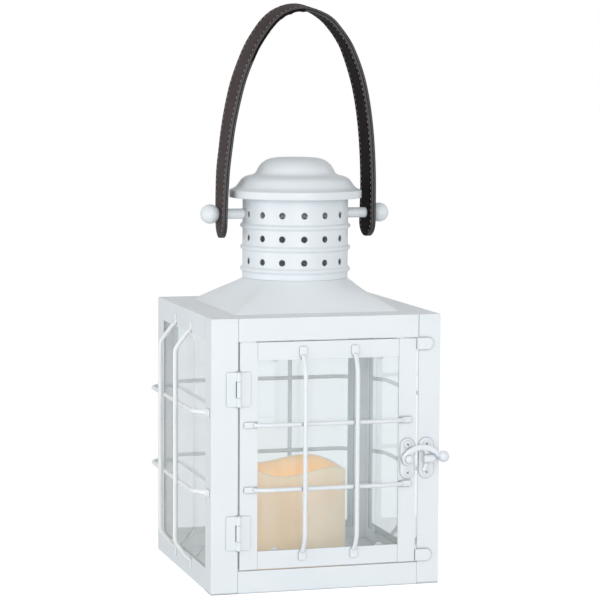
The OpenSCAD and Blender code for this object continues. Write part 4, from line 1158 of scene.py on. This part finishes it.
def half_width(walked):
    """Half the strap's width, which rounds off over the last 12 mm at both ends."""
    from_end = min(walked, STRAP_LENGTH - walked)
    if from_end >= STRAP_HALF:
        return STRAP_HALF
    return math.sqrt(max(STRAP_HALF ** 2 - (STRAP_HALF - from_end) ** 2, 0.0))


# A strap never stands quite true. For a share of its length from the right foot: degrees that
# its section turns round the strap's own line, and millimetres that its line lies further in.
TWIST = ((0.0, -7.0), (0.12, -5.0), (0.3, -4.5), (0.42, 0.0), (0.5, 7.5), (0.58, 9.0),
         (0.7, 7.0), (0.85, 4.0), (1.0, 0.0))
LEAN_IN = ((0.0, -0.3), (0.12, -0.8), (0.28, -1.0), (0.36, -0.4), (0.42, 0.9), (0.46, 1.5),
           (0.5, 0.4), (0.54, 1.0), (0.6, 1.7), (0.64, 1.3), (0.72, 0.5), (0.82, 0.0),
           (0.88, -0.6), (1.0, -0.7))


def even_marks(marks, share):
    """The value at a share of the length, eased from mark to mark."""
    for (a, low), (b, high) in zip(marks, marks[1:]):
        if share <= b:
            u = (share - a) / (b - a)
            return low + (high - low) * u * u * (3 - 2 * u)
    return marks[-1][1]


def walk_stations():
    """Distances along the strap: close together where the tips round off."""
    tip = [STRAP_HALF * (1 - math.cos(math.radians(a))) for a in range(9, 90, 9)]
    straight = STRAP_LENGTH - 2 * STRAP_HALF
    count = round(straight / STATION_GAP)
    middle = [STRAP_HALF + straight * k / count for k in range(count + 1)]
    return tip + middle + [STRAP_LENGTH - w for w in reversed(tip)]


def strap_frame(walked):
    """Place on the arch, direction to the inside and direction across, with the twist in it."""
    step = STRAP_LENGTH / (len(STRAP_LINE) - 1)
    i = min(max(walked / step, 0.0), len(STRAP_LINE) - 1.001)
    a, in_a = station(int(i))
    b, in_b = station(int(i) + 1)
    flat = a.lerp(b, i - int(i))
    inward = in_a.lerp(in_b, i - int(i)).normalized()
    share = walked / STRAP_LENGTH
    flat = flat + inward * even_marks(LEAN_IN, share)
    bend = math.radians(even_marks(TWIST, share))
    inward = Vector((inward.x, 0, inward.y))
    across = Vector((0, 1, 0)) * math.cos(bend) - inward * math.sin(bend)
    turned_in = inward * math.cos(bend) + Vector((0, math.sin(bend), 0))
    return Vector((flat.x, 0, flat.y)), turned_in, across


half_across = (0.2, 0.42, 0.6, 0.71, 0.753, 0.7917, 0.83, 0.865, 0.915, 0.955, 0.985, 1.0)
ply_across = tuple(-share for share in half_across[::-1]) + (0.0,) + half_across


def sewn_height(share, half, crown, press):
    """Height of the leather's face over its plain plane, across the strap."""
    from_edge = (1 - abs(share)) * half
    swell = crown * (1 - share * share)
    groove = -press * math.exp(-((from_edge - STITCH_IN) / 0.75) ** 2)
    rolled = -0.4 * max(0.0, 1 - from_edge / 0.6) ** 2
    return swell + groove + rolled


def sweep_ply(depth, thick, crown_out, crown_in, press_out, press_in, wrinkle):
    """A ply between depth and depth + thick, measured inwards from the arch."""
    bm = bmesh.new()
    sections = []
    for walked in walk_stations():
        middle, inward, across = strap_frame(walked)
        half = half_width(walked)
        from_rod = min(walked, STRAP_LENGTH - walked) - (HANDLE_Z - FOOT_Z + STRAP_HALF)
        under_crown = math.exp(-((walked - WRINKLE_AT * STRAP_LENGTH) / WRINKLE_SPREAD) ** 2)
        wander = 1.5 * noise.noise(Vector((walked * 0.1, 0, 3)))
        fold = 0.5 + 0.5 * math.sin(walked * 0.62 + wander)
        ring = []
        for share in ply_across:
            d = depth - sewn_height(share, half, crown_out, press_out)
            if crown_out:  # a low dome round the hole for the rod
                d -= 1.15 * math.exp(-(from_rod ** 2 + (share * half) ** 2) / 42.0)
            ring.append(bm.verts.new(middle + inward * d + across * (share * half)))
        for share in ply_across[::-1]:
            d = depth + thick + sewn_height(share, half, crown_in, press_in)
            d += wrinkle * fold ** 2 * under_crown * (1 - 0.35 * share ** 2)
            ring.append(bm.verts.new(middle + inward * d + across * (share * half)))
        sections.append([bm.edges.new((a, b)) for a, b in zip(ring, ring[1:] + ring[:1])])
    close_tube(bm, sections)
    bmesh.ops.recalc_face_normals(bm, faces=bm.faces)
    return bm


def bore(bm):
    """Cuts the hole for the rod through both legs."""
    holes = bmesh.new()
    plug(holes, (0, 0, HANDLE_Z), (1, 0, 0), (ROD_HOLE_R, ROD_HOLE_R), (-75, 75), 40)
    return cut(bm, holes)


def paint_edges(obj, where):
    """Gives the second material to the faces near the strap's cut edge."""
    for polygon in obj.data.polygons:
        c = polygon.center / MM
        from_foot = Vector((c.y, c.z - FOOT_Z))
        on_tip = c.z < FOOT_Z and from_foot.length > where
        if abs(c.y) > where or on_tip:
            polygon.material_index = 1


EDGE_PAINT_FROM = 11.5
outer_bm = sweep_ply(depth=0.15, thick=1.9, crown_out=0.12, crown_in=0.0, press_out=0.4,
                     press_in=0.0, wrinkle=0.0)
outer_ply = place_piece("outer_leather_ply", bore(outer_bm), "strap",
                        (outer_leather, edge_paint), ("strap_leather",),
                        smooth=55.0)
lining_bm = sweep_ply(depth=2.1, thick=1.85, crown_out=0.0, crown_in=0.05, press_out=0.0,
                      press_in=0.35, wrinkle=0.9)
lining_ply = place_piece("lining_leather_ply", bore(lining_bm), "strap",
                         (lining_leather, edge_paint), ("strap_lining",),
                         smooth=55.0)
for ply in (outer_ply, lining_ply):
    paint_edges(ply, EDGE_PAINT_FROM)
print("ply faces:", len(outer_ply.data.polygons), len(lining_ply.data.polygons))

# %% [markdown]
# A saddler's stitches are short, plump and all alike, and each dips into the leather at
# both ends. One stitch is a small bent capsule of twenty faces, repeated along both edges
# and round the tips, on both faces.

# %% Stitches
STITCH_PITCH, STITCH_R = 4.3, 0.5
OUTER_DEPTH, LINING_DEPTH = 0.3, 3.7


def stitch_path():
    """Points of the stitch line as (walked, y), up one edge and round each tip."""
    edge = STRAP_HALF - STITCH_IN
    straight = [(STRAP_HALF + k, edge) for k in range(int(STRAP_LENGTH - 2 * STRAP_HALF) + 1)]
    tip = [(STRAP_HALF - edge * math.cos(math.radians(b)), edge * math.sin(math.radians(b)))
           for b in range(0, 90, 3)]
    far_tip = [(STRAP_LENGTH - w, y) for w, y in reversed(tip)]
    one_side = tip + straight + far_tip
    other = [(w, -y) for w, y in reversed(one_side)]
    return [Vector(p) for p in one_side + other[1:-1] + [one_side[0]]]


def on_strap(walked, y, depth):
    """A point at a distance along the strap, at y across it and depth inside its outer face."""
    middle, inward, across = strap_frame(walked)
    return middle + inward * depth + across * y


marks = even_line(stitch_path(), STITCH_PITCH)
stitches = bmesh.new()
for depth, lift in ((OUTER_DEPTH, -1), (LINING_DEPTH, 1)):
    for here, there in zip(marks, marks[1:]):
        gap = there - here
        start, end = (on_strap(*(here + gap * share), depth) for share in (0.18, 0.82))
        middle = (start + end) / 2
        half_way = here + gap * 0.5
        outward = (on_strap(*half_way, depth + lift) - on_strap(*half_way, depth)).normalized()
        ahead = (end - start).normalized()
        turned = Matrix((ahead.cross(outward), outward, ahead)).transposed().to_4x4()
        turned.translation = middle
        length = (end - start).length
        capsule = bmesh.ops.create_icosphere(stitches, subdivisions=1, radius=STITCH_R)["verts"]
        for v in capsule:
            dip = 0.22 * (v.co.z / STITCH_R) ** 2
            v.co = turned @ Vector((v.co.x * 1.05, v.co.y * 0.9 - dip, v.co.z * length * 1.02))
bmesh.ops.recalc_face_normals(stitches, faces=stitches.faces)
sewing = place_piece("saddle_stitches", stitches, "strap", thread, smooth=180.0)
print("stitches:", 2 * (len(marks) - 1), "faces:", len(sewing.data.polygons))

# %% [markdown]
# ## The candle
# The candle is a shell of real wax round a plastic base that holds two cells, a board and a
# small lamp. Its rim was melted into a soft wave, and the lamp lights the hollow from its
# floor. Rings are lofted from the pocket underneath, up the outside, over the wavy rim and
# down into the hollow. Faces inside the hollow take the glowing wax, and the rim a paler one.

# %% The wax shell
CANDLE_R, CANDLE_FOOT, CANDLE_TOP = 40.4, 1.3, 80.3
HOLLOW_FLOOR, POCKET_TOP = 51.3, 47.3


def rim_height(angle):
    """Height of the melted rim: three soft waves round the candle."""
    wave = math.cos(3 * (angle - math.radians(56)))
    return CANDLE_TOP + 3.2 * wave + 0.4 * math.cos(2 * angle + 0.8) - 0.7 * math.cos(angle)


def wax_ring(radius, height, follow=0.0, drop=0.0, wobble=0.0):
    """A ring at a height, or with follow = 1 at the rim's own height less drop."""
    def shape(angle):
        z = (1 - follow) * height + follow * (rim_height(angle) - drop)
        r = radius + wobble * math.sin(3 * angle + 1) + 0.5 * wobble * math.sin(7 * angle)
        return Vector((r * math.cos(angle), r * math.sin(angle), z))
    return shape


foot = [wax_ring(r, CANDLE_FOOT + up) for r, up in (
    (32.1, 0.4), (32.5, 0.0), (38.8, 0.0), (39.9, 0.3), (CANDLE_R, 1.2))]
wall = [wax_ring(CANDLE_R, CANDLE_FOOT + 1.2 + (68 - 1.2) * k / 12) for k in range(1, 13)]
rim = [wax_ring(r, 0, 1, drop) for r, drop in (
    (40.4, 2.4), (40.35, 1.0), (40.15, 0.4), (39.7, 0.08), (39.2, 0.0), (38.7, 0.15),
    (38.15, 0.6), (37.6, 1.8), (36.8, 3.6), (36.0, 6.0), (35.4, 8.5))]
hollow = [wax_ring(35.1 - 0.05 * k, HOLLOW_FLOOR + 15.5 - 2.8 * k, wobble=0.12)
          for k in range(1, 4)]
hollow += [wax_ring(r, HOLLOW_FLOOR + up) for r, up in (
    (34.4, 3.2), (33.6, 1.3), (32.0, 0.3), (29.5, 0.0), (20, 0.0), (10, 0.0), (3.4, 0.0),
    (2.95, -0.4))]
pocket = [wax_ring(2.95, POCKET_TOP), wax_ring(31.8, POCKET_TOP),
          wax_ring(32.1, POCKET_TOP - 0.3)]
wax_bm = bmesh.new()
closed_loft(wax_bm, 128, foot + wall + rim + hollow + pocket)
for face in wax_bm.faces:
    middle = face.calc_center_median()
    outwards = Vector((middle.x, middle.y, 0)).normalized().dot(face.normal)
    in_hollow = middle.z > HOLLOW_FLOOR - 0.3 and Vector((middle.x, middle.y)).length < 38.4
    on_rim = middle.z > 70 and abs(outwards) < 0.75 and not in_hollow
    face.material_index = 1 if in_hollow and outwards < 0.5 else 2 if on_rim else 0
candle = place_piece("wax_shell", wax_bm, "candle", (outer_wax, inner_wax, rim_wax),
                     ("candle_wax",), smooth=60.0)
print("candle faces:", len(candle.data.polygons))

# %% [markdown]
# The base, the cover, the cells, their contacts, the board, the lamp and the switch are
# small moulded or turned things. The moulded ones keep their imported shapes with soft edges,
# and the turned ones are spun.

# %% The candle's works
soften_node("candle_base", 0.35, ivory_plastic, steps=2)
soften_node("battery_cover", 0.3, ivory_plastic, steps=2)
soften_node("candle_switch", 0.25, black_plastic, steps=2)
soften_node("lamp_board", 0.12, board_lacquer, steps=2)

CELL_Y = 7.35
cells_bm = bmesh.new()
cell_low, cell_high = (Vector(v) * 1000 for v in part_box("battery_cells"))
cell_z = (cell_low.z + cell_high.z) / 2
cell_line = [(0, -24.5), (5.6, -24.5), (6.0, -24.35), (6.1, -24.1), (6.6, -24.1), (7.0, -23.8),
             (7.1, -23.3), (7.1, 23.3), (7.0, 23.8), (6.6, 24.1), (5.9, 24.15), (5.7, 24.45),
             (2.9, 24.5), (2.7, 24.7), (2.65, 25.4), (2.4, 25.68), (0, 25.7)]
for side in (-1, 1):
    cell = spun(bmesh.new(), cell_line, 48, closed=False)
    bmesh.ops.rotate(cell, cent=(0, 0, 0), verts=cell.verts,
                     matrix=Matrix.Rotation(side * math.pi / 2, 3, "Y"))
    bmesh.ops.translate(cell, vec=(0, side * CELL_Y, cell_z), verts=cell.verts)
    merge_into(cells_bm, cell)
for face in cells_bm.faces:
    face.material_index = 1 if abs(face.calc_center_median().x) > 23.9 else 0
place_piece("film_wrapped_cells", cells_bm, "candle", (cell_film, plating),
            ("battery_cells",), smooth=35.0)
soften_node("battery_contacts", 0.1, plating, steps=1)

lamp_low, lamp_high = (1000 * corner[2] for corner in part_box("candle_lamp"))
lamp_line = [(0, lamp_low), (2.5, lamp_low), (2.5, lamp_low + 0.9), (2.42, lamp_low + 1.0)]
for step in range(13):
    bend = math.radians(90 * step / 12)
    lamp_line.append((2.46 * math.cos(bend) if step < 12 else 0.0,
                      lamp_high - 2.5 + 2.5 * math.sin(bend)))
place_piece("warm_lamp", spun(bmesh.new(), lamp_line, 32, closed=False), "candle", lamp_lens,
            ("candle_lamp",))
print("candle works placed")
